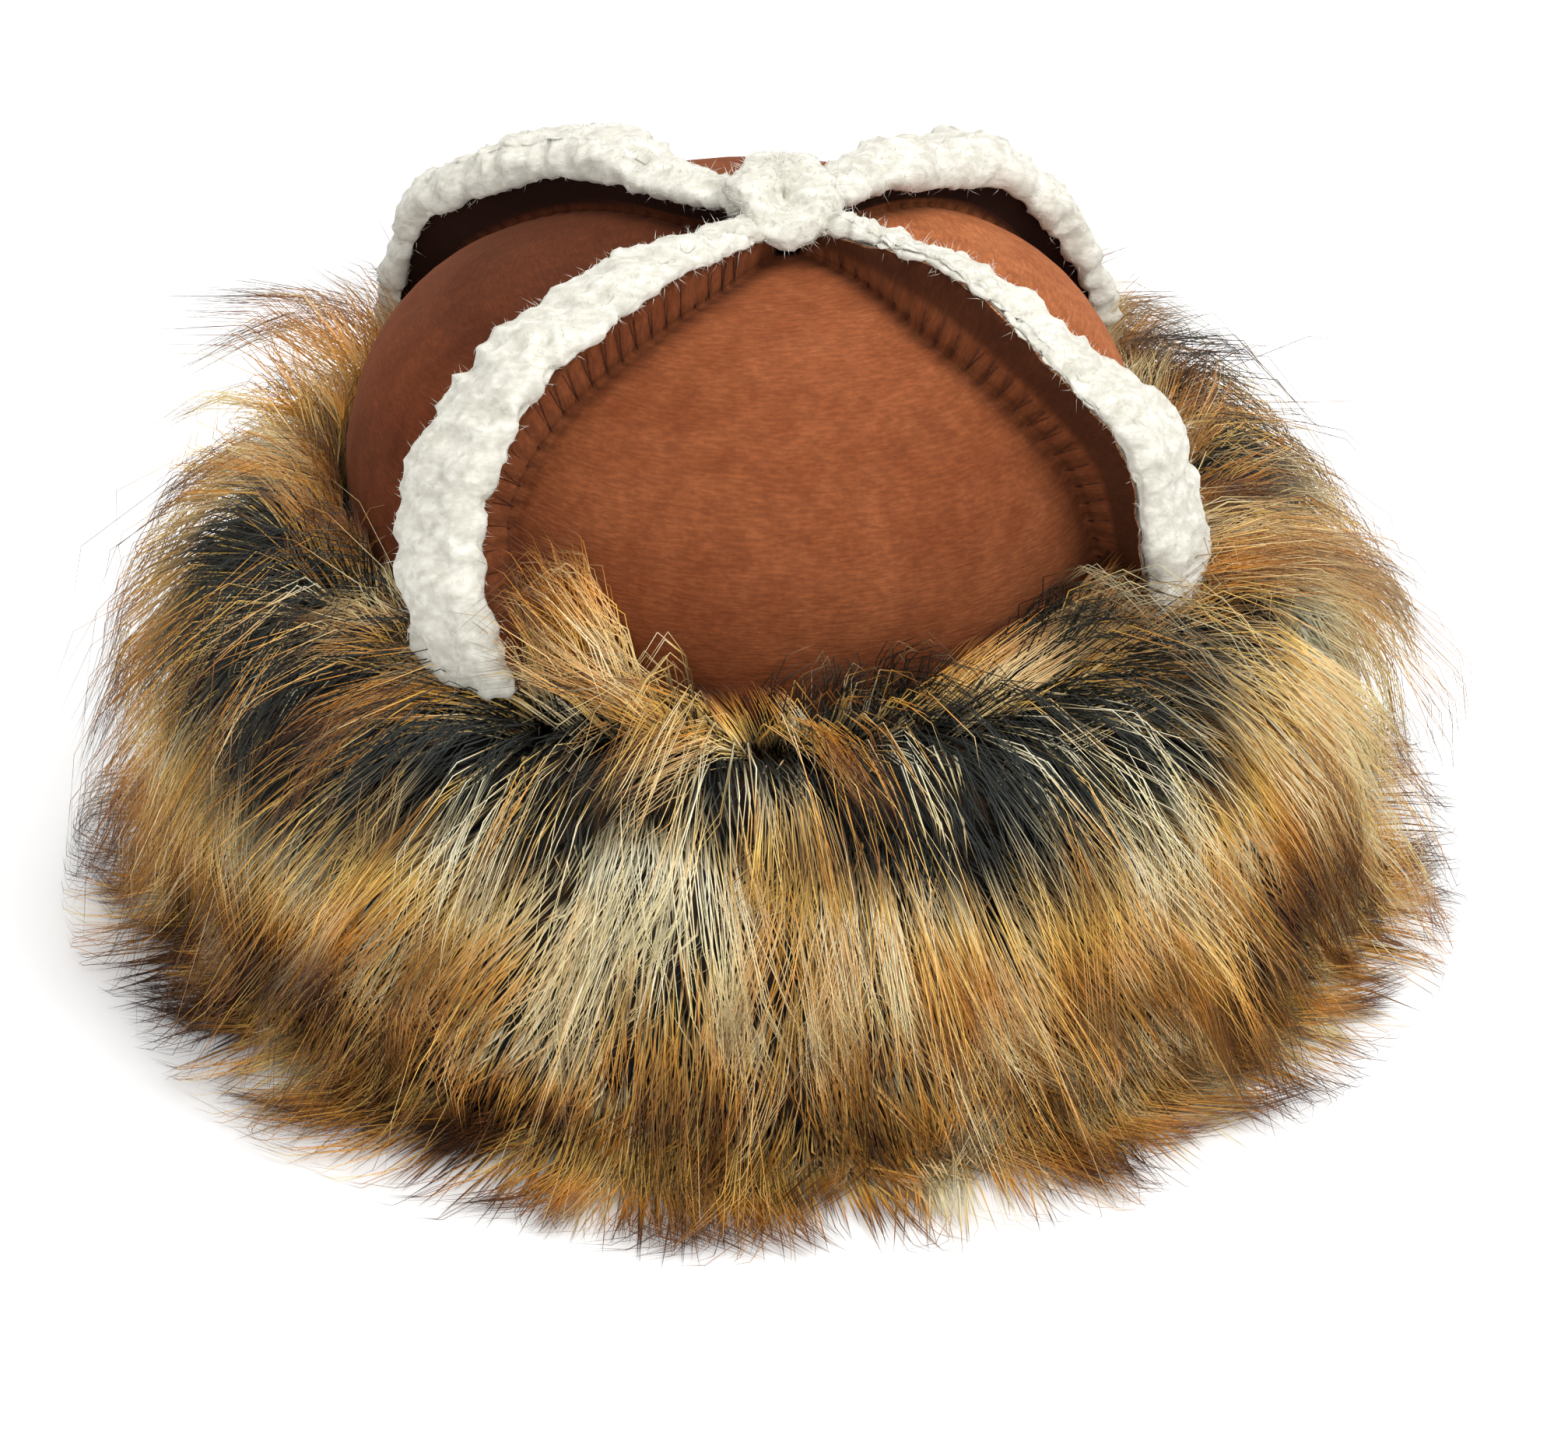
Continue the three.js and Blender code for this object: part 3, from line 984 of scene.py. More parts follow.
@dataclass
class CrownPanel:
    """One cut panel of the crown, with its seam edges turned outwards in one piece with it.

    Its painted end shade is painted shade on its foot and on its top.
    """

    name: str
    near: Seam
    far: Seam
    crown: CrownForm
    creases: tuple[Crease, ...] = ()
    seed: int = 1
    painted_end_shade: tuple[float, float] = (0.0, 0.0)

    hidden_rows: int = 6
    dome_rows: int = 96
    shown_z: float = 98
    relief_z: tuple[float, float] = (96, 108)
    wall_columns: int = 22
    crowding: float = 0.11
    edge_columns: int = 9
    stitch_pitch: float = 5.0
    suede_share: float = 0.38
    swell: float = 0.28
    pinch: float = 0.46
    draw_in: tuple[float, float] = (0.35, 0.55)
    rolls: tuple[tuple[float, float], ...] = ((0.55, 26), (0.18, 9))

    def shares(self) -> Array:
        """Rows from the hem to the tip, close together where the panel shows.

        Returns:
            The share of each row.
        """
        low = self.crown.share_at(self.shown_z)
        return np.concatenate([np.linspace(-1, low, self.hidden_rows, endpoint=False),
                               np.linspace(low, 1, self.dome_rows)])

    def edge(self, seam: Seam, side: int, share: Array, cloth: float) -> Array:
        """One turned-out edge, rows by levels from its foot to its free edge, on one cloth face.

        Args:
            seam: The seam beside it.
            side: 1 past the seam and -1 before it.
            share: The share of each row.
            cloth: How far the face lies from the seam's side of the cloth.

        Returns:
            Rows by levels by 3.
        """
        level = np.linspace(0.06, 1, self.edge_columns)[None]
        share = share[:, None]
        wave = np.sin(63 * share + 2 * seam.azimuth[0]) + 0.8 * np.sin(101 * share + side)
        height = level * (seam.stand(self.crown, share)
                          + seam.shown(self.crown, share) * seam.scallop * wave * level ** 4)
        distance = side * (seam.spread(self.crown, side, share, level) + cloth)
        share = np.broadcast_to(share, height.shape)
        return seam.point(self.crown, share, height, distance)

    def wall(self, share: Array, cloth: float) -> Array:
        """The panel between its seams, puffed by the sine of its way across and of its height.

        Args:
            share: The share of each row.
            cloth: The same distance as for the edge.

        Returns:
            Rows by columns by 3.
        """
        first, last = self.near.turn(share), self.far.turn(share)
        turn = (last - first) % (2 * np.pi)
        here, there = self.crown.point(first, share), self.crown.point(first + np.pi, share)
        radius = np.maximum(np.linalg.norm(here - there, axis=-1) / 2, self.crown.tip_radius)
        inset = (self.crown.half_gap + cloth) / radius
        even = np.linspace(0, 1, self.wall_columns)
        across = (even - self.crowding * np.sin(2 * np.pi * even))[None]
        azimuth = first[:, None] + inset[:, None] + (turn - 2 * inset)[:, None] * across
        share = np.broadcast_to(share[:, None], azimuth.shape)
        place, out, _ = self.crown.frame(azimuth, share)
        rise = np.sin(np.pi * np.clip(share, 0, 1) ** 0.8)
        puff = self.crown.puff * np.sin(np.pi * across) * rise + cloth - self.crown.cloth
        return place + out * puff[..., None]

    def face(self, share: Array, cloth: float) -> Array:
        """One face of the cloth from free edge to free edge, as rows by columns."""
        return np.concatenate([self.edge(self.near, 1, share, cloth)[:, ::-1], self.wall(share, cloth),
                               self.edge(self.far, -1, share, cloth)], axis=1)

    def relief(self, points: Array, share: Array) -> tuple[Array, Array]:
        """How far the suede face stands off its plain form, and how much painted shade darkens it.

        It swells between the stitches on the turned edges, is drawn in at each stitch beside the
        seam, sinks in its creases, and rolls a little all over. Painted shade darkens it in each of
        those folds, on the turned edges past their stitches, and towards its foot and top.

        Args:
            points: The suede face.
            share: The share of each row.

        Returns:
            How far each point stands off, and how much painted shade darkens it.
        """
        way = travelled(points, 1)
        off, shade = np.zeros(points.shape[:2]), np.zeros(points.shape[:2])
        ends = ((self.near, self.edge_columns - 1, 1), (self.far, points.shape[1] - self.edge_columns, -1))
        for seam, column, side in ends:
            along = travelled(points[:, column])[:, None]
            foot = side * (way[:, column:column + 1] - way)
            which = 0 if side < 0 else 1
            reach = seam.stitched[which] * seam.stand(self.crown, share)[:, None]
            shown = seam.shown(self.crown, share)[:, None] * (1 - smooth(share, 0.93, 1.0)[:, None])
            wave = (0.5 + 0.5 * np.cos(2 * np.pi * along / self.stitch_pitch)) ** 2
            band = smooth(foot, 0.3, 1.6) * (1 - smooth(foot, reach - 1.2, reach + 1.2))
            band = band * (reach > 0)
            off += shown * band * (self.swell - self.pinch * wave)
            draw = np.where(foot < 0, np.exp(-((foot / 3.0) ** 2)), np.exp(-((foot / 0.8) ** 2)))
            off -= shown * draw * (self.draw_in[0] + self.draw_in[1] * wave)
            # Painted shade on the turned edge past its stitches, darker at each stitch's pucker.
            turned = smooth(foot, 0.4, 1.6) * seam.dark[which]
            turned = turned * (0.4 + 0.6 * smooth(foot, reach - 1.5, reach + 1.5)) + 0.25 * band * wave
            # Painted shade in the fold beside the seam, darker at each stitch.
            fold_shade = np.where(foot < 0, np.exp(-((foot / 5.0) ** 2)), np.exp(-((foot / 1.2) ** 2)))
            shade = np.maximum(shade, seam.shown(self.crown, share)[:, None] * np.maximum(
                turned, fold_shade * (0.42 + 0.3 * wave)))
        noise = Lattice(self.seed)
        for height, size in self.rolls:
            off += height * noise.swing(points, size)
        for crease in self.creases:
            fall = crease.fall(self.crown, points)
            off -= fall
            # Painted shade in the crease.
            shade = np.maximum(shade, 0.2 * fall / crease.depth)
        # Painted shade towards the panel's foot and top.
        foot, top = self.painted_end_shade
        even = foot * (1 - smooth(share, -0.1, 0.95)) + top * smooth(share, 0.3, 0.6)
        shade = np.maximum(shade, even[:, None] * (0.85 + 0.3 * noise.at(points, 18)))
        start, full = (self.crown.share_at(z) for z in self.relief_z)
        return off * smooth(share, start, full)[:, None], shade

    def build(self, materials: Sequence[bpy.types.Material]) -> bpy.types.Object:
        """The panel as one closed skin: suede face, cut edges and fleece face.

        Args:
            materials: Suede, backing and cut edge.

        Returns:
            The piece.
        """
        share = self.shares()
        outer, inner = self.face(share, self.crown.cloth), self.face(share, 0.0)
        normals = grid_normals(outer)
        centre = np.array([self.crown.centre_x, 0, 60])
        middle = outer.shape[1] // 2
        if (normals[:, middle] * (outer[:, middle] - centre)).sum() < 0:
            normals = -normals
        off, shade = self.relief(outer, share)
        outer = outer + normals * off[..., None]
        inside = np.minimum(off, 0)[..., None] * 0.5
        inner = inner + normals * inside
        split = outer + (inner - outer) * self.suede_share
        ring = np.concatenate([outer, split[:, -1:], inner[:, ::-1], split[:, :1]], axis=1)
        plain = np.zeros_like(shade)
        shade = np.concatenate([shade, plain[:, :1], plain, plain[:, :1]], axis=1)
        rows, columns = ring.shape[:2]
        quads = ring_faces(rows, columns)
        half = outer.shape[1]
        kinds = np.ones(columns, int)
        kinds[:half - 1] = 0
        kinds[[half - 1, columns - 1]] = 2
        slots = np.tile(kinds, rows - 1)
        ends, end_slots = self.end_strips(rows, columns)
        points = ring.reshape(-1, 3)
        across, up = travelled(ring, 1), travelled(ring[:, half // 2])
        uv = np.stack([across - across[:, half // 2:half // 2 + 1],
                       np.broadcast_to(up[:, None], across.shape)], -1) * MM
        faces = outward(points, [np.concatenate([quads, ends])])
        piece = new_mesh("suede_" + self.name, points, faces, uv.reshape(-1, 2), CLOTH_MAP,
                         np.concatenate([slots, end_slots]), shade)
        return dress(piece, ["panel_" + self.name], materials)

    @staticmethod
    def end_strips(rows: int, columns: int) -> tuple[Array, Array]:
        """Quads that join the two faces across the hem and across the tip, and their slots.

        Args:
            rows: Rows of the skin.
            columns: Its columns.

        Returns:
            The quads and their slots.
        """
        left = np.arange(columns // 2 - 1)
        right = columns - 2 - left
        first = np.stack([left, right, right - 1, left + 1], -1)
        last = (rows - 1) * columns + first[:, ::-1]
        return np.concatenate([first, last]), np.full(2 * len(first), 2)


@dataclass
class SeamStitches:
    """The thread that crosses the turned edges of all seams, two legs from each stitch hole."""

    crown: CrownForm
    pitch: float = 5.0
    radius: float = 0.15
    lift: float = 0.12
    lean: float = 0.15
    foot_z: float = 106
    last_share: float = 0.93
    beside: float = 2.4
    samples: int = 400

    def legs(self, seam: Seam, side: int) -> Array:
        """Paths from each hole up over the cloth: the two legs part as they rise.

        Args:
            seam: The seam.
            side: -1 for the edge of the panel before the seam, 1 for the one after it.

        Returns:
            Paths as legs by points by 3.
        """
        fine = np.linspace(self.crown.share_at(self.foot_z), self.last_share, self.samples)
        line = seam.point(self.crown, fine, 0 * fine, np.full(self.samples, side * self.beside))
        along = travelled(line)
        holes = np.arange(self.pitch, along[-1], self.pitch)
        reach = seam.stitched[0 if side < 0 else 1]
        rise = np.array([0.02, 0.1, 0.4, 0.7, 0.97, 1.03]) * reach
        lean = np.array([0, 0.05, 0.4, 0.7, 0.98, 1.0])
        sway = 0.12 * np.sin(holes * 12.9)[:, None]
        paths = []
        for way in (-1, 1):
            place = holes[:, None] + (way * self.lean + sway) * self.pitch * lean[None]
            share = np.interp(place, along, fine)
            level = np.broadcast_to(rise, share.shape)
            height = level * seam.stand(self.crown, share)
            distance = seam.spread(self.crown, side, share, level) + self.crown.cloth + self.lift
            paths.append(seam.point(self.crown, share, height, side * distance))
        return np.concatenate(paths)

    def build(self, material: bpy.types.Material) -> bpy.types.Object:
        """All legs as one mesh of thin tubes, left out on the unstitched edges in deepest painted shade.
        All legs as one mesh of thin tubes, left out where the edge is too dark to show them.

        Args:
            material: The thread.

        Returns:
            The piece.
        """
        sewn = [(seam, side) for seam in SEAMS.values() for side in (-1, 1)
                if seam.stitched[0 if side < 0 else 1] > 0]
        paths = np.concatenate([self.legs(seam, side) for seam, side in sewn])
        radii = np.full((len(paths), paths.shape[1] - 2), self.radius)
        strands = Strands(paths, radii, np.array([[0.5]]), np.linspace(0, 1, paths.shape[1])[None])
        return dress(strands.build("seam_stitches"), [], [material])


# Fleece

@dataclass
class SeamFleece:
    """The thick pile that fills one seam and rolls over its free edges."""

    seam: Seam
    crown: CrownForm
    seed: int

    row_step: float = 0.85
    columns: int = 46
    clearance: float = 0.35
    foot_z: float = 105
    samples: int = 300
    curl: float = 0.8
    lump: float = 3.0
    grain: float = 0.16
    sizes: tuple[float, float, float] = (5.6, 2.3, 1.3)
    fibres: int = 1500
    fibre_length: float = 1.7

    def section(self, share: Array) -> tuple[Array, Array]:
        """The rounded outline of the pile at each share, as rows by columns, and how open each column is.

        It runs from deep between the two leaves up one side, out over the free edge, down past it by
        the sag, and over the top to the other side: a closed smooth curve through eighteen places.
        Where it passes the free edge it waves along the seam by under a millimetre.

        Args:
            share: Places along the seam.

        Returns:
            The points, and how open each is from 0 to 1.
        """
        seam, crown = self.seam, self.crown
        height = seam.stand(crown, share)
        over = height + 2 * self.clearance
        pile = spline(seam.pile, share) * (1 + 0.12 * np.sin(29 * share + 2 * seam.azimuth[0]))
        shown = seam.shown(crown, share)
        sides = []
        for side in (1, -1):
            which = 0 if side < 0 else 1
            brim = seam.spread(crown, side, share, 1.0)
            wave = 0.6 * np.sin(47 * share + 5 * side) + 0.35 * np.sin(83 * share + side)
            out = brim + 0.8 * crown.cloth + seam.overhang[which] + wave * shown
            near = np.minimum(out, brim + crown.cloth + 0.6)
            sag = seam.sag[which] * shown * (1 - smooth(share, 0.75, 1.0))
            low = seam.spread(crown, side, share, 0.35) - self.clearance
            mid = seam.spread(crown, side, share, 0.68) - self.clearance
            rows = [(0.35 * height, low), (0.68 * height, mid), (over, brim - self.clearance),
                    (over + 0.1 * pile, near), (over + 0.1 * pile - sag, near + 0.15 * sag),
                    (over + 0.3 * pile - 0.8 * sag, out + 0.1 * sag), (height + 0.62 * pile, out),
                    (height + 0.96 * pile, brim * 0.7), (height + 1.02 * pile, brim * 0.2)]
            sides.append([seam.point(crown, share, h, side * d) for h, d in rows])
        ring = np.stack([*sides[0], *sides[1][::-1]], axis=1)
        bare = np.array([0, 0, 0, 0.5, 0.8, 1, 1, 1, 1])
        bare = np.concatenate([bare, bare[::-1]])
        ring = np.concatenate([ring[:, -2:], ring, ring[:, :3]], axis=1)
        bare = np.concatenate([bare[-2:], bare, bare[:3]])
        count = ring.shape[1] - 1
        even = (2 + np.arange(self.columns) * (count - 4) / self.columns) / count
        points = np.moveaxis(spline(np.moveaxis(ring, 1, 0), even), 0, 1)
        return points, np.clip(spline(bare, even), 0, 1)[None] * shown[:, None]

    def surface(self) -> tuple[Array, Array, Array]:
        """The pile's points, its outward normals and how far each point is in the open, 0 to 1.

        Returns:
            Points, normals and openness, as rows by columns.
        """
        fine = np.linspace(self.crown.share_at(self.foot_z), 1.0, self.samples)
        line = self.seam.point(self.crown, fine, 0 * fine, 0 * fine)
        along = travelled(line)
        share = np.interp(np.arange(0, along[-1], self.row_step), along, fine)
        points, bare = self.section(share)
        wrapped = np.concatenate([points[:, -1:], points, points[:, :1]], axis=1)
        normals = grid_normals(wrapped)[:, 1:-1]
        centre = points.mean(axis=1, keepdims=True)
        if (normals * (points - centre)).sum() < 0:
            normals = -normals
        return points, normals, bare

    def curls(self, points: Array, normals: Array, bare: Array) -> Array:
        """Moves open points out by curls: one less the distance of the noise from its middle value.

        Args:
            points: The surface.
            normals: Its normals.
            bare: How open each point is.

        Returns:
            The moved points.
        """
        noise = Lattice(self.seed)
        big = 1 - np.abs(noise.swing(points, self.sizes[0]))
        small = 1 - np.abs(noise.swing(points + 40, self.sizes[1]))
        fine = noise.swing(points + 90, self.sizes[2])
        off = self.lump * (big - 0.5) + self.curl * (small - 0.55) + self.grain * fine
        return points + normals * (off * bare)[..., None]

    def build(self, pile: bpy.types.Material, fibre: bpy.types.Material) -> None:
        """The pile as a closed mesh and its loose fibres as strands.

        Args:
            pile: The pile's material.
            fibre: The loose fibres' material.
        """
        points, normals, bare = self.surface()
        points = self.curls(points, normals, bare)
        name, node = "pile_" + self.seam.name, "fleece_" + self.seam.name
        dress(new_mesh(name, *capped(points)), [node], [pile])
        rng = np.random.default_rng(self.seed)
        chance = (bare ** 2).ravel()
        picked = rng.choice(chance.size, self.fibres, p=chance / chance.sum())
        roots, ways = points.reshape(-1, 3)[picked], normals.reshape(-1, 3)[picked]
        strands = loose_fibres(rng, roots, ways, self.fibre_length)
        dress(strands.build(name + "_fibres"), [node], [fibre])


def loose_fibres(rng: np.random.Generator, roots: Array, normals: Array, length: float) -> Strands:
    """Short fine fibres that leave a surface at a slant, each with its own bend.

    Args:
        rng: The random source.
        roots: Where they leave the surface.
        normals: Its normals there.
        length: The usual length.

    Returns:
        The fibres.
    """
    count = len(roots)
    ways = unit(normals + 0.8 * rng.normal(size=(count, 3)))
    bends = 0.6 * rng.normal(size=(count, 3))
    along = np.array([0, 0.45, 1.0])
    sizes = length * rng.uniform(0.4, 1.5, count)
    steps = ways[:, None] * along[None, :, None] + bends[:, None] * (along ** 2)[None, :, None]
    paths = roots[:, None] - 0.3 * normals[:, None] + steps * sizes[:, None, None]
    radii = rng.uniform(0.05, 0.09, (count, 1))
    return Strands(paths, radii, rng.uniform(0, 1, (count, 1)), along[None])


@dataclass
class CrownTuft:
    """The gathered knot of fleece where the four seams meet."""

    crown: CrownForm
    rows: int = 64
    columns: int = 84
    middle_up: float = 12
    lump: float = 2.0
    curl: float = 1.1
    grain: float = 0.25
    sunk: float = 1.7
    sizes: tuple[float, float, float] = (6.5, 2.6, 1.2)
    fibres: int = 900
    fibre_length: float = 2.2
    lobes: tuple[tuple[float, float, float], ...] = (
        (-8, 6.0, 6.5), (60, 4.0, 2.5), (140, 3.0, -1.0), (-95, 3.5, 0.5), (-150, 2.0, -2.0))
    outline: tuple[tuple[float, float], ...] = (
        (0.4, 1.0), (6.0, 1.4), (6.2, 5.0), (6.6, 9.0), (9.2, 11.0), (10.6, 13.6), (9.4, 16.6),
        (5.8, 18.2), (0.4, 18.6))

    def build(self, pile: bpy.types.Material, fibre: bpy.types.Material) -> None:
        """Turns the outline round the apex, pulls its lobes out and down, and lumps what is open.

        Each row of lobes gives an azimuth in degrees, how far the lobe reaches and how far it hangs.

        Args:
            pile: The pile's material.
            fibre: The loose fibres' material.
        """
        outline = spline(self.outline, np.linspace(0, 1, self.rows))
        turn = 2 * np.pi * np.arange(self.columns) / self.columns
        open_rows = smooth(outline[:, 1], 7.5, 11.5)[:, None]
        reach, sag = outline[:, :1] + 0 * turn[None], np.zeros((self.rows, self.columns))
        for azimuth, out, drop in self.lobes:
            near = np.clip(np.cos(turn - math.radians(azimuth)), 0, 1) ** 4 * open_rows
            reach = reach + out * near * np.minimum(outline[:, :1] / 8, 1)
            sag = sag + drop * near
        points = around(turn[None], reach, outline[:, 1:] - sag)
        crown = self.crown
        apex = np.array([crown.centre_x + crown.apex_x, crown.apex_y, crown.top_z])
        points = points + apex
        middle = apex + np.array([0, 0, self.middle_up])
        normals = unit(points - middle)
        noise = Lattice(77)
        bare = smooth(outline[:, 1], 8, 12)[:, None]
        off = self.lump * (1 - np.abs(noise.swing(points, self.sizes[0])))
        off = off + self.curl * (1 - np.abs(noise.swing(points + 30, self.sizes[1])))
        off = off - self.sunk + self.grain * noise.swing(points + 60, self.sizes[2])
        points = points + normals * (off * bare)[..., None]
        dress(new_mesh("crown_knot", *capped(points)), ["fleece_crown_tuft"], [pile])
        rng = np.random.default_rng(9)
        open_points = points[outline[:, 1] > 11].reshape(-1, 3)
        picked = rng.choice(len(open_points), self.fibres)
        roots = open_points[picked]
        strands = loose_fibres(rng, roots, unit(roots - middle), self.fibre_length)
        dress(strands.build("crown_knot_fibres"), ["fleece_crown_tuft"], [fibre])


# The fur cuff

class Flow(Enum):
    """The columns of the table of how the fur flows."""

    AZIMUTH = 0
    SKIRT_SWEEP = 1
    ROOT_SHOWN = 2
    RIM_SWEEP = 3
    RIM_LEAN = 4
    RIM_LENGTH = 5


@dataclass(frozen=True)
class Patch:
    """A patch of paler or darker fur on the cuff.

    Args:
        azimuth: Its middle, in degrees from the front.
        z: Its middle's height.
        wide: Its half width in degrees.
        tall: Its half height.
        shift: What it adds to the tone: below 0 is paler and above 0 darker.
    """

    azimuth: float
    z: float
    wide: float
    tall: float
    shift: float


@dataclass(frozen=True)
class FurPattern:
    """Where the fur is pale, golden and dark, and which way it flows round the cuff.

    Each row of flow gives an azimuth in degrees; the skirt's sweep round the cuff; how far below
    the parting its dark roots show; and the rim's sweep, its lean outwards and its length.
    """

    patches: tuple[Patch, ...] = (
        Patch(-24, 68, 13, 15, -0.7), Patch(-15, 81, 7, 8, -0.4), Patch(31, 80, 7, 7, -0.45),
        Patch(68, 50, 14, 28, -0.55), Patch(47, 66, 7, 6, 0.15), Patch(51, 56, 5, 5, 0.6),
        Patch(0.5, 35, 5, 6, 0.5), Patch(11.5, 19.5, 9, 8, 0.5), Patch(29, 8, 8, 8, 0.45),
        Patch(40, 14, 7, 7, 0.45), Patch(-12, 33, 4, 7, 0.4), Patch(-22, 17, 6, 7, 0.4),
        Patch(-42, 12, 9, 9, 0.4), Patch(-54, 18, 9, 10, 0.45), Patch(-63, 32, 6, 10, 0.4),
        Patch(-74, 22, 8, 10, 0.45), Patch(6, 2, 12, 7, -0.05), Patch(150, 60, 16, 15, -0.3),
        Patch(190, 40, 14, 16, 0.35), Patch(118, 30, 12, 14, 0.3),
        Patch(34, 42, 8, 8, -0.3), Patch(-66, 58, 8, 8, -0.35), Patch(24, 102, 18, 15, -0.45),
        Patch(-3, 88, 10, 8, 0.2), Patch(-38, 44, 6, 10, 0.3), Patch(24, 32, 6, 8, 0.35))
    flow: tuple[tuple[float, ...], ...] = (
        (-180, 0.0, 14, 0.1, 0.35, 54), (-150, -0.1, 26, -0.15, 0.4, 58), (-122, -0.1, 12, -0.1, 0.45, 74),
        (-100, -0.2, 20, -0.15, 0.3, 56), (-78, -0.3, 48, -0.2, 0.05, 44), (-60, -0.45, 46, -0.3, 0.0, 42),
        (-50, -0.5, 36, -0.4, 0.1, 46), (-40, -0.45, 32, -0.4, 0.0, 54), (-30, -0.35, 26, -0.35, -0.2, 74),
        (-20, -0.25, 18, -0.85, -0.1, 62), (-8, -0.1, 22, -0.6, 0.0, 34), (4, 0.25, 30, 0.3, 0.05, 26),
        (14, 0.55, 36, 0.8, 0.0, 46), (24, 0.7, 36, 0.9, 0.0, 58), (38, 0.5, 30, 0.85, 0.15, 58),
        (52, 0.35, 20, 0.6, 0.35, 56), (75, 0.25, 10, 0.3, 0.5, 60), (100, 0.2, 34, 0.2, 0.2, 54),
        (125, 0.1, 28, 0.1, 0.25, 64), (150, 0.05, 26, 0.15, 0.4, 58))
    middle_tone: float = 0.43
    cloud: float = 1.8
    cloud_calm: float = 0.7
    foot_band: tuple[float, float] = (12, 45)
    patch_strength: float = 1.3
    parting_z: float = 94
    parting_radius: float = 118
    belt_fade: float = 45

    def along_flow(self, azimuth: Array, column: Flow) -> Array:
        """A column of the flow table, in straight lines between its rows and round the back.

        Args:
            azimuth: Radians from the front.
            column: Which column.

        Returns:
            Its values.
        """
        rows = np.array(self.flow)
        turn = rows[:, Flow.AZIMUTH.value] % 360
        order = np.argsort(turn)
        return np.interp(np.degrees(azimuth) % 360, turn[order], rows[order, column.value], period=360)

    def tone(self, points: Array) -> Array:
        """The tone in space, 0 pale and 1 dark: cloudy noise, and every patch as a soft bump.

        The noise counts for more near the foot, where the locks differ most.

        Args:
            points: Places in space.

        Returns:
            The tone at each.
        """
        azimuth = np.degrees(np.arctan2(points[..., 0], -points[..., 1]))
        noise = Lattice(23)
        cloud = 0.55 * noise.swing(points, (26, 26, 20)) + 0.55 * noise.swing(points + 77, (12, 12, 15))
        calm = smooth(points[..., 2], *self.foot_band)
        tone = self.middle_tone + (self.cloud - self.cloud_calm * calm) * cloud
        for patch in self.patches:
            away = (azimuth - patch.azimuth + 180) % 360 - 180
            shift = self.patch_strength * patch.shift * bell(away, 0, patch.wide)
            tone = tone + shift * bell(points[..., 2], patch.z, patch.tall)
        return tone

    def band(self, points: Array, along: Array, parted: Array) -> Array:
        """The colour band of each point, 0 at the dark roots and 1 at the tips.

        Each hair runs through its own bands, fast over its root. Where the fur is parted, no point
        passes the band that its distance from the parting allows, so that the dark roots show
        there in an uneven belt.

        Args:
            points: Hairs by points by 3.
            along: The share of the length at each point.
            parted: Whether the belt holds for each hair.

        Returns:
            The band at each point.
        """
        own = np.where(along < 0.1, 2 * along, 0.2 + 0.8 * (along - 0.1) / 0.9)[None]
        radius = np.hypot(points[..., 0], points[..., 1])
        away = np.hypot(self.parting_z - points[..., 2], np.maximum(radius - self.parting_radius, 0))
        away = away + 7 * Lattice(61).swing(points, 14)
        shown = self.along_flow(np.arctan2(points[..., 0], -points[..., 1]), Flow.ROOT_SHOWN)
        allowed = 0.2 + 0.8 * (away - shown) / self.belt_fade
        allowed = np.where(parted[:, None], np.maximum(allowed, 0.12), 1.0)
        return np.clip(np.minimum(own, allowed), 0, 1)


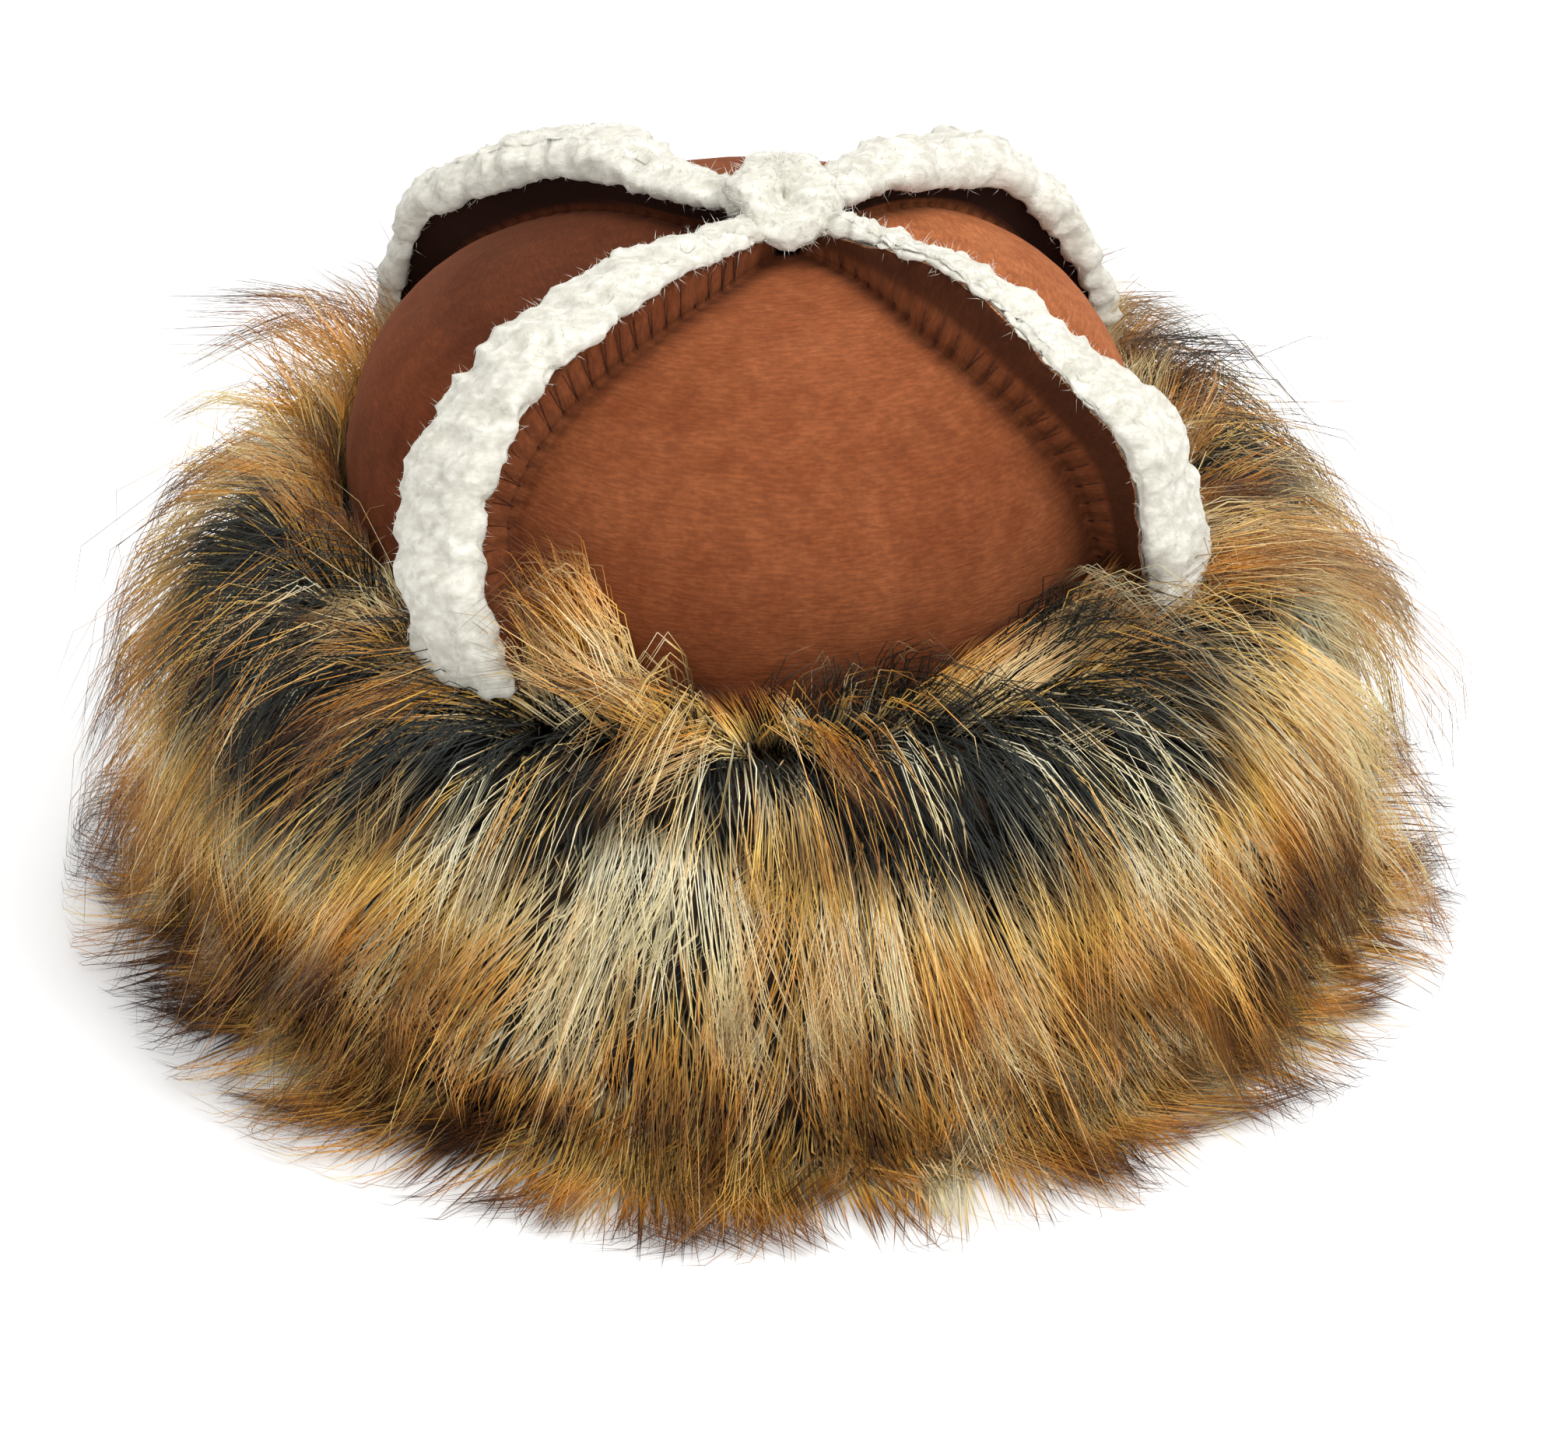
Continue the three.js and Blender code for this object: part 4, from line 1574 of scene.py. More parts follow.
@dataclass(frozen=True)
class CuffForm:
    """The cuff's skin, from its rim over the top and down the outside to the ground."""

    crown: CrownForm
    profile: tuple[tuple[float, float], ...] = (
        (105, 88), (109, 93), (116, 94), (125, 90), (132, 81), (138, 67), (142, 50), (145, 31),
        (146, 14), (144, 1.2))
    length: float = 117.0
    parting: float = 0.16
    reach_start: float = 172.0
    reach_limit: float = 188.0
    floor_push: float = 0.35
    clearance: float = 3.5
    girth_radius: float = 135.0

    def point(self, azimuth: Array, place: Array) -> Array:
        """A point of the skin, which runs straight down past the foot of its profile.

        Args:
            azimuth: Radians from the front.
            place: 0 at the rim and 1 at the foot.

        Returns:
            The points.
        """
        outline = spline(self.profile, place)
        past = np.maximum(np.asarray(place) - 1, 0) * self.length
        points = around(azimuth, outline[..., 0], outline[..., 1] - past)
        points[..., 0] += self.crown.centre_x * (1 - smooth(place, 0.0, 0.55))
        return points

    def out(self, azimuth: Array, place: Array) -> Array:
        """The way out of the skin: its slope in section, turned by a quarter.

        Args:
            azimuth: Radians from the front.
            place: 0 at the rim and 1 at the foot.

        Returns:
            Unit vectors.
        """
        step = 0.02
        inside = np.clip(place, step, 1 - step)
        slope = spline(self.profile, inside + step) - spline(self.profile, inside - step)
        return unit(around(azimuth, -slope[..., 1], slope[..., 0]))

    def settle(self, points: Array, floor: Array) -> Array:
        """Keeps hair off the ground, the crown and too far out.

        What would fall under its floor lies on it and reaches outwards by part of that; what would
        enter the crown is pushed out to its wall; far tips are drawn in smoothly.

        Args:
            points: Points of hairs.
            floor: The lowest height for each.

        Returns:
            The settled points.
        """
        short = np.maximum(floor - points[..., 2], 0)
        radius = np.hypot(points[..., 0], points[..., 1])
        way = points[..., :2] / np.maximum(radius, 1e-6)[..., None]
        points[..., :2] += way * (self.floor_push * short)[..., None]
        points[..., 2] = np.maximum(points[..., 2], floor)
        radius = np.hypot(points[..., 0], points[..., 1])
        room = self.reach_limit - self.reach_start
        drawn = self.reach_start + room * np.tanh((radius - self.reach_start) / room)
        scale = np.where(radius > self.reach_start, drawn / np.maximum(radius, 1e-6), 1.0)
        points[..., :2] *= scale[..., None]
        x = points[..., 0] - self.crown.centre_x
        azimuth = np.arctan2(x, -points[..., 1])
        radius = np.hypot(x, points[..., 1])
        wall = self.crown.radius_at(azimuth, points[..., 2]) + self.clearance
        push = np.maximum(wall - radius, 0) / np.maximum(radius, 1e-6)
        points[..., 0] += x * push
        points[..., 1] += points[..., 1] * push
        return points


@dataclass
class HairStyle:
    """How the hairs of one layer grow, as arrays with a value for each hair.

    Args:
        azimuth: Where each is rooted, in radians.
        place: Where on the skin's profile, 0 to 1.
        length: In millimetres.
        sweep: The share of its way that goes round the cuff.
        run: The share that follows the skin towards its foot.
        lift: The share that leaves the skin.
        droop: How much of the lift it loses by its tip.
        floor: The height at which it comes to lie.
    """

    azimuth: Array
    place: Array
    length: Array
    sweep: Array
    run: Array
    lift: Array
    droop: Array
    floor: Array

    def paths(self, cuff: CuffForm, along: Array) -> Array:
        """Each hair as points: it travels over the skin while it rises off it.

        Args:
            cuff: The skin.
            along: The shares of the length at which to give points.

        Returns:
            Hairs by points by 3.
        """
        share = along[None]
        size = np.sqrt(self.sweep ** 2 + self.run ** 2 + self.lift ** 2)[:, None]
        travel = self.length[:, None] / size * share * (0.6 + 0.4 * share)
        azimuth = self.azimuth[:, None] + self.sweep[:, None] * travel / cuff.girth_radius
        place = self.place[:, None] + self.run[:, None] * travel / cuff.length
        rise = self.length[:, None] / size * share * (1 - self.droop[:, None] * share)
        azimuth, place = np.broadcast_arrays(azimuth, place)
        off = cuff.out(azimuth, place) * (self.lift[:, None] * rise)[..., None]
        return cuff.settle(cuff.point(azimuth, place) + off, self.floor[:, None])


@dataclass
class FurLayer:
    """A layer of fur: clumps of tufts of hairs, whose tips gather towards their tuft and clump.

    Args:
        name: The piece's name.
        clumps: How many clumps there are.
        tufts: Tufts in each clump.
        hairs: Hairs in each tuft.
        rooted: The part of the skin's profile that they grow on.
        length: The hairs' usual length.
        radius: A hair's thickest radius.
        rings: Rings of vertices along a hair.
        seed: For its random draws.
        crossing: The share of the tufts that lie over the dark belt with their own bands.
        blotch: How far the tone of whole clumps and tufts differs.
        toss: How far the sweep of the hairs differs.
    """

    name: str
    clumps: int
    tufts: int
    hairs: int
    rooted: tuple[float, float]
    length: float
    radius: float
    rings: int
    seed: int
    cuff: CuffForm
    pattern: FurPattern

    lift: float = 0.95
    droop: float = 0.45
    gather: tuple[float, float] = (0.7, 0.75)
    spread: tuple[float, float] = (5.5, 2.0)
    wave: float = 0.06
    tip_share: float = 0.5
    shift: float = 0.0
    crossing: float = 0.1
    blotch: float = 0.05
    toss: float = 0.4
    root_radius: float = 130.0

    def style(self, azimuth: Array, place: Array, rng: np.random.Generator, loose: float) -> HairStyle:
        """How a hair rooted at each place grows: out of the parting and down with the flow.

        Smooth noise over the cuff moves its sweep, its lift and its length.

        Args:
            azimuth: Radians from the front.
            place: On the profile.
            rng: For each hair's differences.
            loose: How large they are.

        Returns:
            The hairs' style.
        """
        count = len(azimuth)
        spot = around(azimuth, self.root_radius, 60 + 90 * place)
        noise = Lattice(11)
        sweep = self.pattern.along_flow(azimuth, Flow.SKIRT_SWEEP) * (1.1 - 0.75 * np.clip(place, 0, 1))
        sweep = sweep + 0.45 * noise.swing(spot, 28) + 0.45 * noise.swing(spot + 200, 13)
        below = smooth(place, self.cuff.parting - 0.05, self.cuff.parting + 0.04)
        lift = self.lift + 0.3 * bell(place, self.cuff.parting, 0.1) + 0.45 * noise.swing(spot + 300, 16)
        return HairStyle(
            azimuth=azimuth, place=place,
            length=self.length * np.maximum(1 + loose * rng.normal(size=count) * 0.26
                                            + 0.3 * noise.swing(spot + 100, 18), 0.3),
            sweep=sweep + loose * self.toss * rng.normal(size=count),
            run=0.9 * below - 0.2 * (1 - below) + loose * 0.1 * rng.normal(size=count),
            lift=np.maximum(lift + loose * 0.25 * rng.normal(size=count), 0.15),
            droop=np.full(count, self.droop),
            floor=0.8 + 6.0 * rng.random(count))

    def along(self) -> Array:
        """Where along a hair its root, rings and tip are."""
        inner = {1: (0.45,), 2: (0.22, 0.64), 3: (0.14, 0.44, 0.76)}[self.rings]
        return np.array([0.0, *inner, 1.0])

    def roots(self) -> tuple[Array, Array]:
        """The clumps' roots, by the fractional parts of two irrational steps, in a wavy band.

        Returns:
            Azimuths and places on the profile.
        """
        index = np.arange(self.clumps)
        azimuth = 2 * np.pi * ((index * 0.7548776662) % 1)
        low, high = self.rooted
        wave = self.wave * Lattice(self.seed).swing(around(azimuth, self.root_radius, 0.0), 26)
        place = low + (high - low) * ((index * 0.5698402910) % 1) + wave
        return azimuth, np.clip(place, 0, 1)

    def build(self, material: bpy.types.Material) -> bpy.types.Object:
        """Scatters tufts and hairs round the clumps and gathers their tips.

        Each hair's path is its own, drawn towards its tuft's path by a share that grows along it,
        and each tuft's towards its clump's in the same way.

        Args:
            material: The hair's material.

        Returns:
            The piece.
        """
        rng = np.random.default_rng(self.seed)
        azimuth, place = self.roots()
        along = self.along()
        pull = along[None, :, None]
        clump = self.style(azimuth, place, rng, 1.0).paths(self.cuff, along)
        offset = self.blotch * rng.normal(size=self.clumps)
        parted = rng.random(self.clumps * self.tufts) >= self.crossing
        azimuth, place = self.scatter(azimuth, place, self.tufts, self.spread[0], rng)
        tuft = self.style(azimuth, place, rng, 0.45).paths(self.cuff, along)
        tuft = tuft + self.gather[1] * pull ** 1.5 * (np.repeat(clump, self.tufts, 0) - tuft)
        azimuth, place = self.scatter(azimuth, place, self.hairs, self.spread[1], rng)
        hair = self.style(azimuth, place, rng, 0.35).paths(self.cuff, along)
        hair = hair + self.gather[0] * pull ** 1.3 * (np.repeat(tuft, self.hairs, 0) - hair)
        hair[..., 2] = np.maximum(hair[..., 2], 0.4)
        taper = np.linspace(1.0, self.tip_share, self.rings)
        radii = self.radius * taper[None] * rng.uniform(0.75, 1.25, (len(hair), 1))
        offset = np.repeat(offset, self.tufts)
        offset = np.repeat(offset + 0.8 * self.blotch * rng.normal(size=len(offset)), self.hairs)
        offset = offset + 0.06 * rng.normal(size=len(hair))
        tone = self.tone(hair) + offset[:, None]
        band = self.pattern.band(hair, along, np.repeat(parted, self.hairs))
        strands = Strands(hair, radii, np.clip(tone, 0, 1), band)
        return dress(strands.build(self.name), ["fur_cuff"], [material])

    def tone(self, points: Array) -> Array:
        """The tone of hairs at points: the pattern's, with the layer's shift."""
        return self.pattern.tone(points) + self.shift

    def scatter(self, azimuth: Array, place: Array, copies: int, reach: float,
                rng: np.random.Generator) -> tuple[Array, Array]:
        """Places several roots round each given one, in a normal spread of that reach.

        Args:
            azimuth: The given roots' azimuths.
            place: Their places.
            copies: How many round each.
            reach: The spread in millimetres.
            rng: The random source.

        Returns:
            The new azimuths and places.
        """
        count = len(azimuth) * copies
        azimuth = np.repeat(azimuth, copies) + rng.normal(size=count) * reach / self.root_radius
        place = np.repeat(place, copies) + rng.normal(size=count) * reach / self.cuff.length
        return azimuth, np.clip(place, 0, 1)


@dataclass
class RimLayer(FurLayer):
    """The hair on top of the cuff, which rises against the crown and sweeps as the pattern says."""

    def style(self, azimuth: Array, place: Array, rng: np.random.Generator, loose: float) -> HairStyle:
        """How a rim hair grows: mostly up, with the pattern's sweep and lean and its own difference.

        Args:
            azimuth: Radians from the front.
            place: On the profile.
            rng: For each hair's differences.
            loose: How large they are.

        Returns:
            The hairs' style.
        """
        count = len(azimuth)
        spot = around(azimuth, 110.0, 60 + 90 * place)
        noise = Lattice(31)
        sweep = self.pattern.along_flow(azimuth, Flow.RIM_SWEEP) + 0.4 * noise.swing(spot, 15)
        lean = self.pattern.along_flow(azimuth, Flow.RIM_LEAN) + 0.35 * noise.swing(spot + 50, 13)
        lift = np.sqrt(np.clip(1 - sweep ** 2 - lean ** 2, 0.2, 1))
        length = self.pattern.along_flow(azimuth, Flow.RIM_LENGTH) * (1 + 0.3 * noise.swing(spot + 90, 19))
        return HairStyle(
            azimuth=azimuth, place=place,
            length=length * (1 + loose * 0.18 * rng.normal(size=count)),
            sweep=sweep + loose * 0.14 * rng.normal(size=count),
            run=lean + loose * 0.14 * rng.normal(size=count),
            lift=lift, droop=np.full(count, self.droop), floor=1.0 + 4.0 * rng.random(count))


@dataclass(frozen=True)
class Lock:
    """One lock of hair that stands out in the photograph.

    Args:
        azimuth: Where it is rooted, in degrees from the front.
        place: Where on the skin's profile, 0 to 1.
        length: In millimetres.
        sweep: The share of its way that goes round the cuff.
        run: The share that follows the skin towards its foot.
        lift: The share that leaves the skin.
        tone: 0 pale, 0.45 golden and 1 dark.
    """

    azimuth: float
    place: float
    length: float
    sweep: float
    run: float
    lift: float
    tone: float = 0.45


@dataclass
class LockLayer(FurLayer):
    """Single locks, each of several clumps that grow alike."""

    each: int = 3
    locks: tuple[Lock, ...] = (
        Lock(-28, 0.11, 92, -0.25, 0.05, 1.0, 0.38), Lock(-23, 0.12, 88, -0.45, 0.0, 1.0, 0.33),
        Lock(-33, 0.12, 70, -0.25, 0.1, 1.0, 0.4), Lock(-19, 0.13, 66, -0.6, 0.1, 0.8, 0.35),
        Lock(-14, 0.13, 56, -0.7, 0.15, 0.7, 0.45), Lock(-26, 0.09, 60, -0.8, 0.1, 0.5, 0.35),
        Lock(-38, 0.14, 62, -0.75, 0.35, 0.5, 0.4), Lock(-46, 0.16, 60, -0.5, 0.6, 0.5, 0.5),
        Lock(-12, 0.14, 50, -0.5, 0.4, 0.5, 0.4), Lock(-2, 0.14, 46, 0.1, 0.5, 0.6, 0.55),
        Lock(9, 0.1, 70, 0.95, -0.02, 0.45, 0.38), Lock(13, 0.12, 74, 0.95, 0.0, 0.6, 0.42),
        Lock(18, 0.14, 72, 0.95, 0.06, 0.6, 0.35), Lock(24, 0.12, 68, 0.9, 0.05, 0.55, 0.42),
        Lock(29, 0.15, 66, 0.9, 0.15, 0.55, 0.48),
        Lock(36, 0.11, 70, 0.9, 0.0, 0.6, 0.34), Lock(42, 0.11, 68, 0.8, 0.1, 0.6, 0.36),
        Lock(30, 0.18, 64, 0.8, 0.4, 0.4, 0.4), Lock(36, 0.24, 62, 0.7, 0.6, 0.35, 0.5),
        Lock(42, 0.14, 64, 0.7, 0.3, 0.5, 0.4), Lock(49, 0.13, 66, 0.5, 0.4, 0.6, 0.45),
        Lock(57, 0.14, 68, 0.45, 0.4, 0.7, 0.35), Lock(64, 0.2, 72, 0.35, 0.5, 0.75, 0.25),
        Lock(74, 0.3, 72, 0.3, 0.6, 0.7, 0.3), Lock(-56, 0.13, 52, -0.4, 0.35, 0.6, 0.45),
        Lock(-68, 0.11, 50, -0.4, 0.25, 0.9, 0.6), Lock(-80, 0.11, 54, -0.3, 0.25, 0.9, 0.45),
        Lock(-84, 0.36, 72, -0.3, 0.6, 0.75, 0.5), Lock(-76, 0.5, 66, -0.3, 0.6, 0.7, 0.6),
        Lock(-96, 0.12, 64, -0.2, 0.4, 0.8, 0.5), Lock(-110, 0.09, 74, -0.1, 0.2, 0.95, 0.35),
        Lock(-122, 0.08, 78, 0.0, 0.2, 0.95, 0.45), Lock(104, 0.1, 60, 0.1, 0.3, 0.85, 0.9),
        Lock(114, 0.1, 62, 0.1, 0.3, 0.85, 0.4), Lock(126, 0.08, 76, 0.1, 0.15, 0.95, 0.4),
        Lock(138, 0.08, 70, 0.0, 0.2, 0.95, 0.65), Lock(170, 0.12, 58, 0.1, 0.5, 0.7, 0.5),
        Lock(205, 0.12, 60, -0.1, 0.5, 0.7, 0.5),
        Lock(-17, 0.78, 88, 0.0, 0.95, 0.4, 0.5), Lock(-11, 0.84, 74, 0.1, 0.9, 0.5, 0.6),
        Lock(-24, 0.84, 72, -0.15, 0.9, 0.5, 0.65), Lock(12, 0.86, 64, 0.25, 0.9, 0.5, 0.5),
        Lock(24, 0.84, 72, 0.35, 0.85, 0.5, 0.55), Lock(-44, 0.84, 68, -0.35, 0.85, 0.5, 0.6),
        Lock(-62, 0.8, 68, -0.35, 0.8, 0.6, 0.7), Lock(-84, 0.7, 72, -0.3, 0.75, 0.7, 0.6),
        Lock(44, 0.84, 66, 0.4, 0.8, 0.5, 0.6), Lock(66, 0.78, 70, 0.35, 0.8, 0.6, 0.4),
        Lock(90, 0.7, 72, 0.2, 0.8, 0.6, 0.5))

    def __post_init__(self) -> None:
        """Counts the clumps."""
        self.clumps = len(self.locks) * self.each

    def roots(self) -> tuple[Array, Array]:
        """The clumps' roots, a few millimetres round each lock's place.

        Returns:
            Azimuths and places on the profile.
        """
        rng = np.random.default_rng(self.seed + 1)
        azimuth = self.of_each("azimuth", self.clumps) + 1.6 * rng.normal(size=self.clumps)
        place = self.of_each("place", self.clumps) + 0.02 * rng.normal(size=self.clumps)
        return np.radians(azimuth), np.clip(place, 0, 1)

    def of_each(self, field: str, count: int) -> Array:
        """A field of the locks, spread evenly over a count of clumps, tufts or hairs."""
        return np.repeat([getattr(lock, field) for lock in self.locks], count // len(self.locks))

    def tone(self, points: Array) -> Array:
        """The lock's own tone, with a third of the pattern's differences."""
        return self.of_each("tone", len(points))[:, None] + 0.33 * (self.pattern.tone(points) - 0.45)

    def style(self, azimuth: Array, place: Array, rng: np.random.Generator, loose: float) -> HairStyle:
        """How a hair of each lock grows: as its lock says, with its own difference.

        Args:
            azimuth: Radians from the front.
            place: On the profile.
            rng: For each hair's differences.
            loose: How large they are.

        Returns:
            The hairs' style.
        """
        count = len(azimuth)
        return HairStyle(
            azimuth=azimuth, place=place,
            length=self.of_each("length", count) * (1 + 0.2 * loose * rng.normal(size=count)),
            sweep=self.of_each("sweep", count) + 0.22 * loose * rng.normal(size=count),
            run=self.of_each("run", count) + 0.14 * loose * rng.normal(size=count),
            lift=np.maximum(self.of_each("lift", count) + 0.16 * loose * rng.normal(size=count), 0.15),
            droop=np.full(count, self.droop), floor=0.8 + 5.0 * rng.random(count))


@dataclass
class CuffUnderside:
    """The fur that is pressed flat under the cuff, from the hem outwards."""

    pattern: FurPattern
    count: int = 5400
    inner: float = 103
    outer: float = 148
    length: float = 34
    radius: float = 0.42

    def build(self, material: bpy.types.Material) -> bpy.types.Object:
        """Hairs that lie outwards within a few millimetres of the ground.

        Args:
            material: The hair's material.

        Returns:
            The piece.
        """
        rng = np.random.default_rng(5)
        azimuth = rng.uniform(0, 2 * np.pi, self.count)
        start = np.sqrt(rng.uniform(self.inner ** 2, self.outer ** 2, self.count))
        along = np.array([0, 0.15, 0.6, 1.0])
        length = self.length * rng.uniform(0.7, 1.2, self.count)
        sway = 0.35 * Lattice(3).swing(around(azimuth, start, 0.0), 20)
        sway = sway + 0.12 * rng.normal(size=self.count)
        radius = start[:, None] + length[:, None] * along[None]
        turn = azimuth[:, None] + sway[:, None] * length[:, None] * along[None] / radius
        height = 0.5 + 2.6 * rng.random(self.count)[:, None] * np.sin(np.pi * along)[None]
        paths = around(turn, radius, height)
        radii = np.broadcast_to(np.array([1.0, 0.7]) * self.radius, (self.count, 2))
        tone = np.clip(self.pattern.tone(paths) + 0.1 * rng.normal(size=(self.count, 1)), 0, 1)
        strands = Strands(paths, radii, tone, along[None])
        return dress(strands.build("fur_underside"), ["fur_cuff"], [material])


@dataclass
class CuffWool:
    """The dense body of the cuff under its hair, as one closed ring."""

    cuff: CuffForm
    turns: int = 150
    outer_rows: int = 26
    bore_radius: float = 101.4
    bore_top: float = 87
    bore_rows: int = 10
    under_from: float = 141
    under_to: float = 104
    under_rows: int = 9
    under_z: float = 1.0
    ridge: float = 1.6

    def build(self, material: bpy.types.Material) -> bpy.types.Object:
        """Sweeps the skin, the flat underside and the bore round the crown, with lock ridges.

        Args:
            material: The wool's material.

        Returns:
            The piece.
        """
        azimuth = 2 * np.pi * np.arange(self.turns)[:, None] / self.turns
        place = np.linspace(0, 1, self.outer_rows)[None]
        azimuth, place = np.broadcast_arrays(azimuth, place)
        skin = self.cuff.point(azimuth, place)
        noise = Lattice(41)
        coarse = noise.swing(skin, (9, 9, 26)) + 0.5 * noise.swing(skin + 60, (4, 4, 14))
        skin = skin + self.cuff.out(azimuth, place) * (self.ridge * coarse)[..., None]
        skin[..., 2] = np.maximum(skin[..., 2], self.under_z)
        turn = azimuth[:, :1]
        across = np.linspace(self.under_from, self.under_to, self.under_rows)[None]
        under = around(turn, across, self.under_z)
        under[..., 0] += self.cuff.crown.centre_x * np.linspace(0.1, 1, self.under_rows)[None]
        up = np.linspace(self.under_z, self.bore_top, self.bore_rows)[None]
        bore = around(turn, self.bore_radius, up)
        bore[..., 0] += self.cuff.crown.centre_x
        ring = np.concatenate([skin, under, bore], axis=1)
        rows, columns = ring.shape[:2]
        points = ring.reshape(-1, 3)
        faces = outward(points, [ring_faces(rows, columns, closed_rows=True)])
        way = travelled(ring, 1)
        uv = np.stack([np.broadcast_to(turn * self.cuff.girth_radius, way.shape), way], -1) * MM
        piece = new_mesh("fur_wool", points, faces, uv.reshape(-1, 2), CLOTH_MAP)
        return dress(piece, ["fur_cuff"], [material])


# The stage

@dataclass(frozen=True)
class Studio:
    """A pale floor, soft light and the camera at the photograph's angle."""

    distance: float = 1200.0
    elevation: float = 31.1
    azimuth: float = 9.0
    target: tuple[float, float, float] = (4.64, -0.74, 38.4)
    lens: float = 104.2
    floor_half: float = 3.0
    surround: float = 0.58
    lamps: tuple[tuple[str, tuple[float, float, float], float, float], ...] = (
        ("key", (0.85, -0.55, 1.4), 0.7, 14.0), ("top", (0.1, 0.1, 1.6), 0.9, 10.0),
        ("fill", (-0.4, -1.5, 0.8), 1.0, 9.0), ("back", (0.5, 1.3, 1.2), 1.0, 5.0))

    def camera(self) -> None:
        """Sets the camera back from its target, at its azimuth towards the wearer's right."""
        rise, turn = math.radians(self.elevation), math.radians(self.azimuth)
        way = Vector((-math.cos(rise) * math.sin(turn), -math.cos(rise) * math.cos(turn), math.sin(rise)))
        lens = bpy.data.cameras.new("camera")
        lens.lens, lens.sensor_width, lens.sensor_fit = self.lens, 36.0, "HORIZONTAL"
        lens.clip_start, lens.clip_end = 0.05, 20.0
        made = bpy.data.objects.new("camera", lens)
        made.location = (Vector(self.target) + way * self.distance) * MM
        made.rotation_euler = (-way).to_track_quat("-Z", "Y").to_euler()
        bpy.context.scene.collection.objects.link(made)
        bpy.context.scene.camera = made

    def light(self, name: str, place: tuple[float, float, float], size: float, power: float) -> None:
        """A soft square lamp at a place in metres, aimed at the cap.

        Args:
            name: The lamp's name.
            place: Where it stands, in metres.
            size: Its side.
            power: In watts.
        """
        lamp = bpy.data.lights.new(name, "AREA")
        lamp.size, lamp.energy = size, power
        made = bpy.data.objects.new(name, lamp)
        made.location = place
        made.rotation_euler = (Vector((0, 0, 0.08)) - Vector(place)).to_track_quat("-Z", "Y").to_euler()
        bpy.context.scene.collection.objects.link(made)

    def floor(self) -> None:
        """A pale floor of one even tone."""
        half = self.floor_half
        corners = np.array([[-half, -half, 0], [half, -half, 0], [half, half, 0], [-half, half, 0]]) / MM
        made = new_mesh("floor", corners, [np.array([[0, 1, 2, 3]])])
        material = bpy.data.materials.new("floor")
        material.use_nodes = True
        material.node_tree.nodes.clear()
        tree = Tree(material.node_tree)
        shader = tree.add("BsdfPrincipled", {"Base Color": paint((255, 255, 255)), "Roughness": 0.9,
                                             "Specular IOR Level": 0.1})
        tree.add("OutputMaterial", {"Surface": shader.outputs[0]})
        made.data.materials.append(material)

    def build(self) -> None:
        """Builds the stage and sets a plain white surround and a plain view transform."""
        self.camera()
        self.floor()
        for lamp in self.lamps:
            self.light(*lamp)
        world = bpy.data.worlds.new("surround")
        world.use_nodes = True
        sky = world.node_tree.nodes["Background"]
        sky.inputs["Color"].default_value = (1, 1, 1, 1)
        sky.inputs["Strength"].default_value = self.surround
        bpy.context.scene.world = world
        bpy.context.scene.view_settings.view_transform = "Standard"


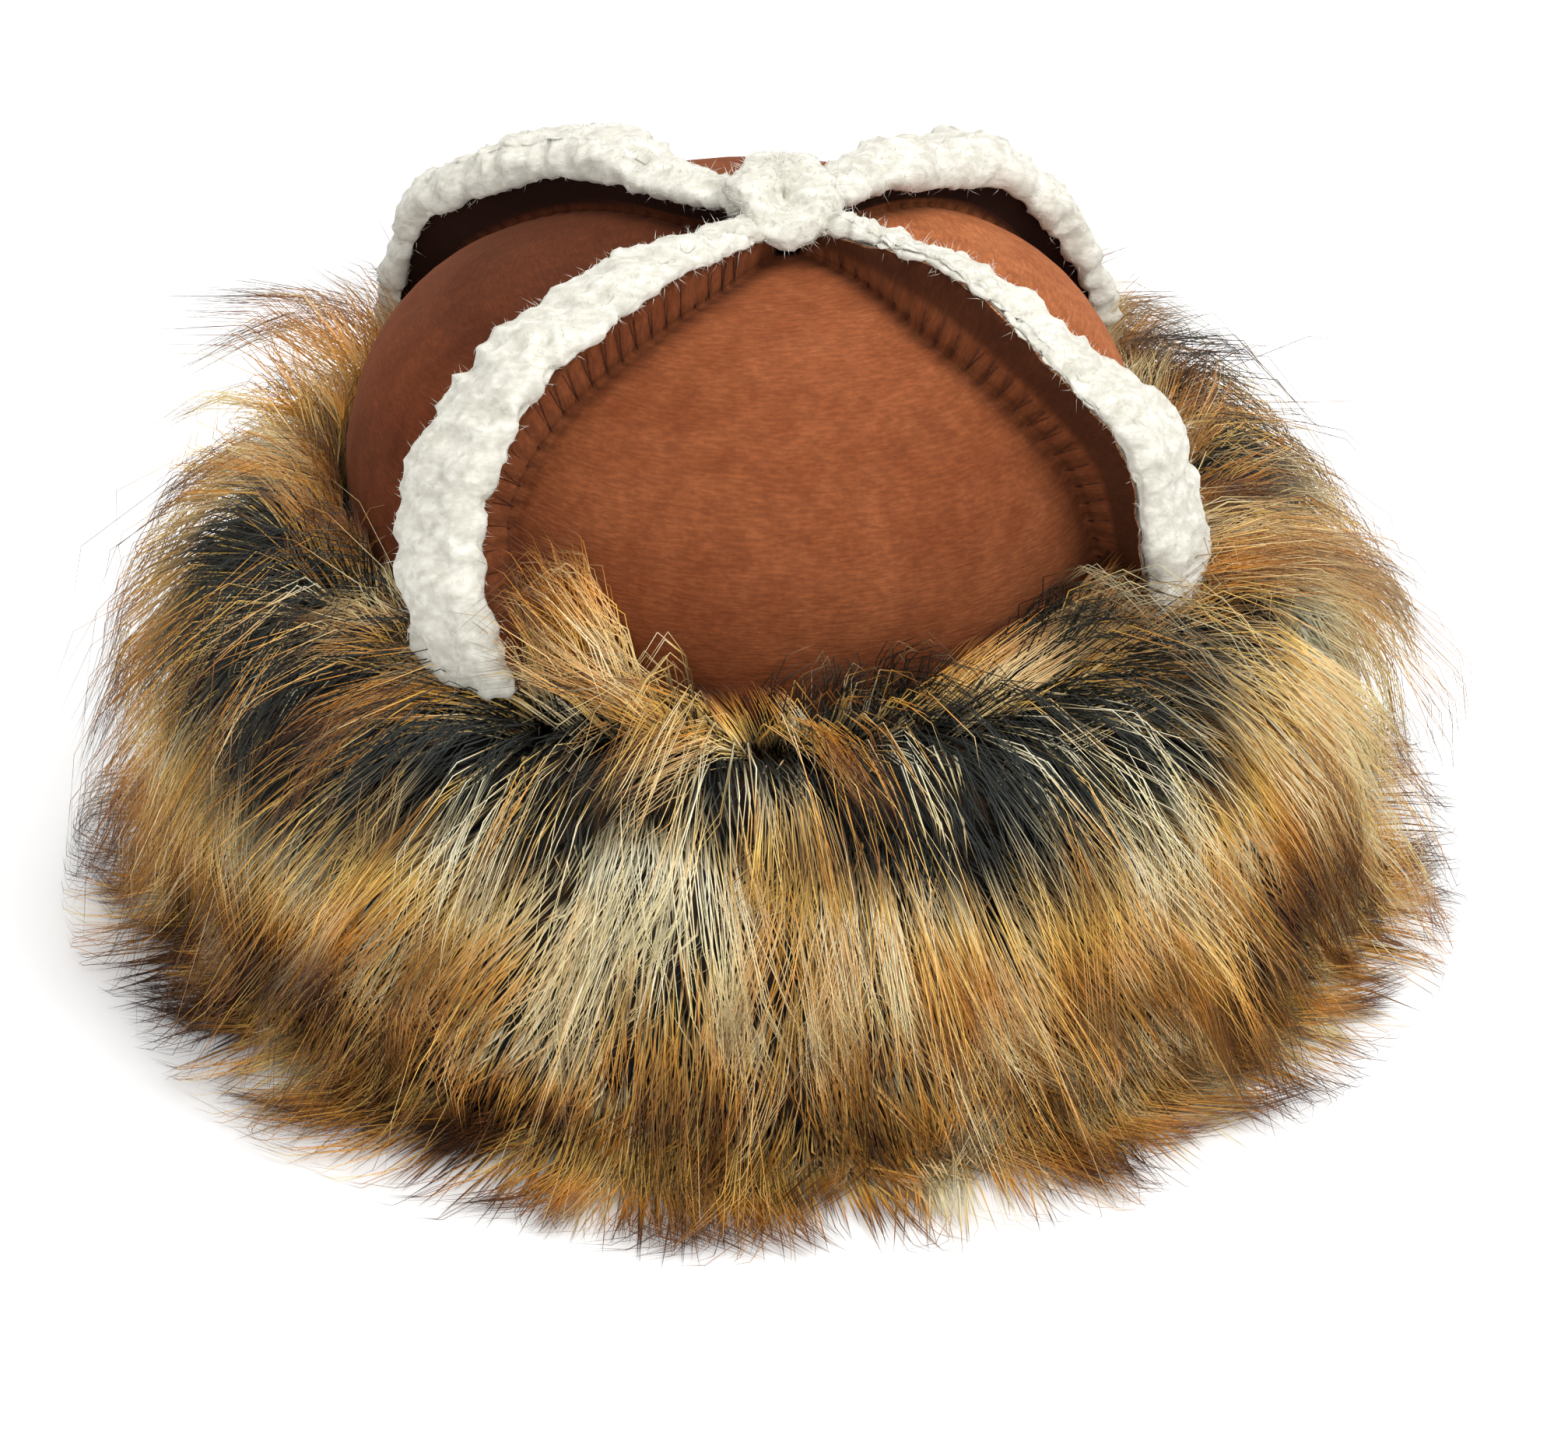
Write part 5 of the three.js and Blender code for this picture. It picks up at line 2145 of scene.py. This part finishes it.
def main() -> None:
    """Builds the stage, the finishes and every piece of the cap."""
    logging.basicConfig(level=logging.INFO, format="%(name)s: %(message)s")
    Studio().build()
    effects = Effects()
    crown = CrownForm()
    cuff = CuffForm(crown)
    edge = CutEdge().material(effects)
    pile, fibre = Pile().material(effects), PileFibre().material(effects)
    backing = replace(Pile(), name="fleece_backing", curl_scale=380.0).material(effects)
    hair, wool = Hair().material(effects), Undercoat().material(effects)
    left_creases = (Crease((-104, 0.40), (-62, 0.55), 6.0, 1.8), Crease((-80, 0.15), (-58, 0.3), 10.0, 0.8))
    front_creases = (Crease((8, 0.42), (24, 0.5), 8.0, 0.7),)
    # The front and left panels end with their painted end shade, on foot and top.
    panels = (
        CrownPanel("front", SEAMS["front_left"], SEAMS["front_right"], crown, front_creases, 3,
                   (0.28, 0.0)),
        CrownPanel("right", SEAMS["front_right"], SEAMS["back_right"], crown, (), 4),
        CrownPanel("back", SEAMS["back_right"], SEAMS["back_left"], crown, (), 5),
        CrownPanel("left", SEAMS["back_left"], SEAMS["front_left"], crown, left_creases, 6, (0.0, 0.42)),
    )
    # The right copy is lighter as painted light and the left darker as painted shade; the back copy is
    # darker too.
    lit_and_shaded_suedes = (
        Suede("suede_front"),
        Suede("suede_right", body=(154, 86, 49), bright=(182, 112, 68)),
        Suede("suede_back", body=(112, 58, 33), bright=(138, 80, 50)),
        Suede("suede_left", deep=(56, 24, 11), body=(86, 38, 17), bright=(118, 60, 31)),
    )
    for panel, suede in zip(panels, lit_and_shaded_suedes):
        panel.build([suede.material(effects), backing, edge])
    SeamStitches(crown).build(Thread().material(effects))
    for number, seam in enumerate(SEAMS.values()):
        SeamFleece(seam, crown, 50 + number).build(pile, fibre)
    CrownTuft(crown).build(pile, fibre)
    CuffWool(cuff).build(wool)
    pattern = FurPattern()
    CuffUnderside(pattern).build(hair)
    grow = partial(FurLayer, cuff=cuff, pattern=pattern)
    layers = (
        grow("fur_underfur", 600, 6, 3, (0.06, 1.0), 26, 0.36, 1, 101, droop=0.3),
        grow("fur_skirt_top", 130, 7, 6, (0.12, 0.25), 70, 0.21, 3, 102, lift=0.75, crossing=0.13),
        grow("fur_skirt_upper", 110, 7, 6, (0.34, 0.48), 58, 0.21, 3, 103, lift=0.8, shift=0.02),
        grow("fur_skirt_lower", 130, 7, 6, (0.58, 0.72), 48, 0.21, 2, 104, lift=0.8, shift=0.03),
        grow("fur_skirt_foot", 125, 7, 6, (0.8, 0.97), 38, 0.2, 2, 105, lift=0.7, shift=0.02,
             gather=(0.5, 0.55)),
        RimLayer("fur_rim", 125, 7, 6, (0.0, 0.14), 42, 0.19, 3, 106, cuff, pattern, droop=0.25,
                 spread=(4.5, 1.8), wave=0.02, crossing=1.0),
        LockLayer("fur_locks", 0, 6, 6, (0, 1), 60, 0.2, 3, 108, cuff, pattern, droop=0.35,
                  gather=(0.6, 0.6), spread=(5.0, 2.0), crossing=1.0),
        grow("fur_guard_hairs", 230, 3, 3, (0.22, 1.0), 74, 0.15, 3, 107, lift=1.05, droop=0.2,
             gather=(0.2, 0.1), shift=0.2, crossing=1.0),
    )
    for layer in layers:
        layer.build(hair)


if __name__ == "__main__":
    main()
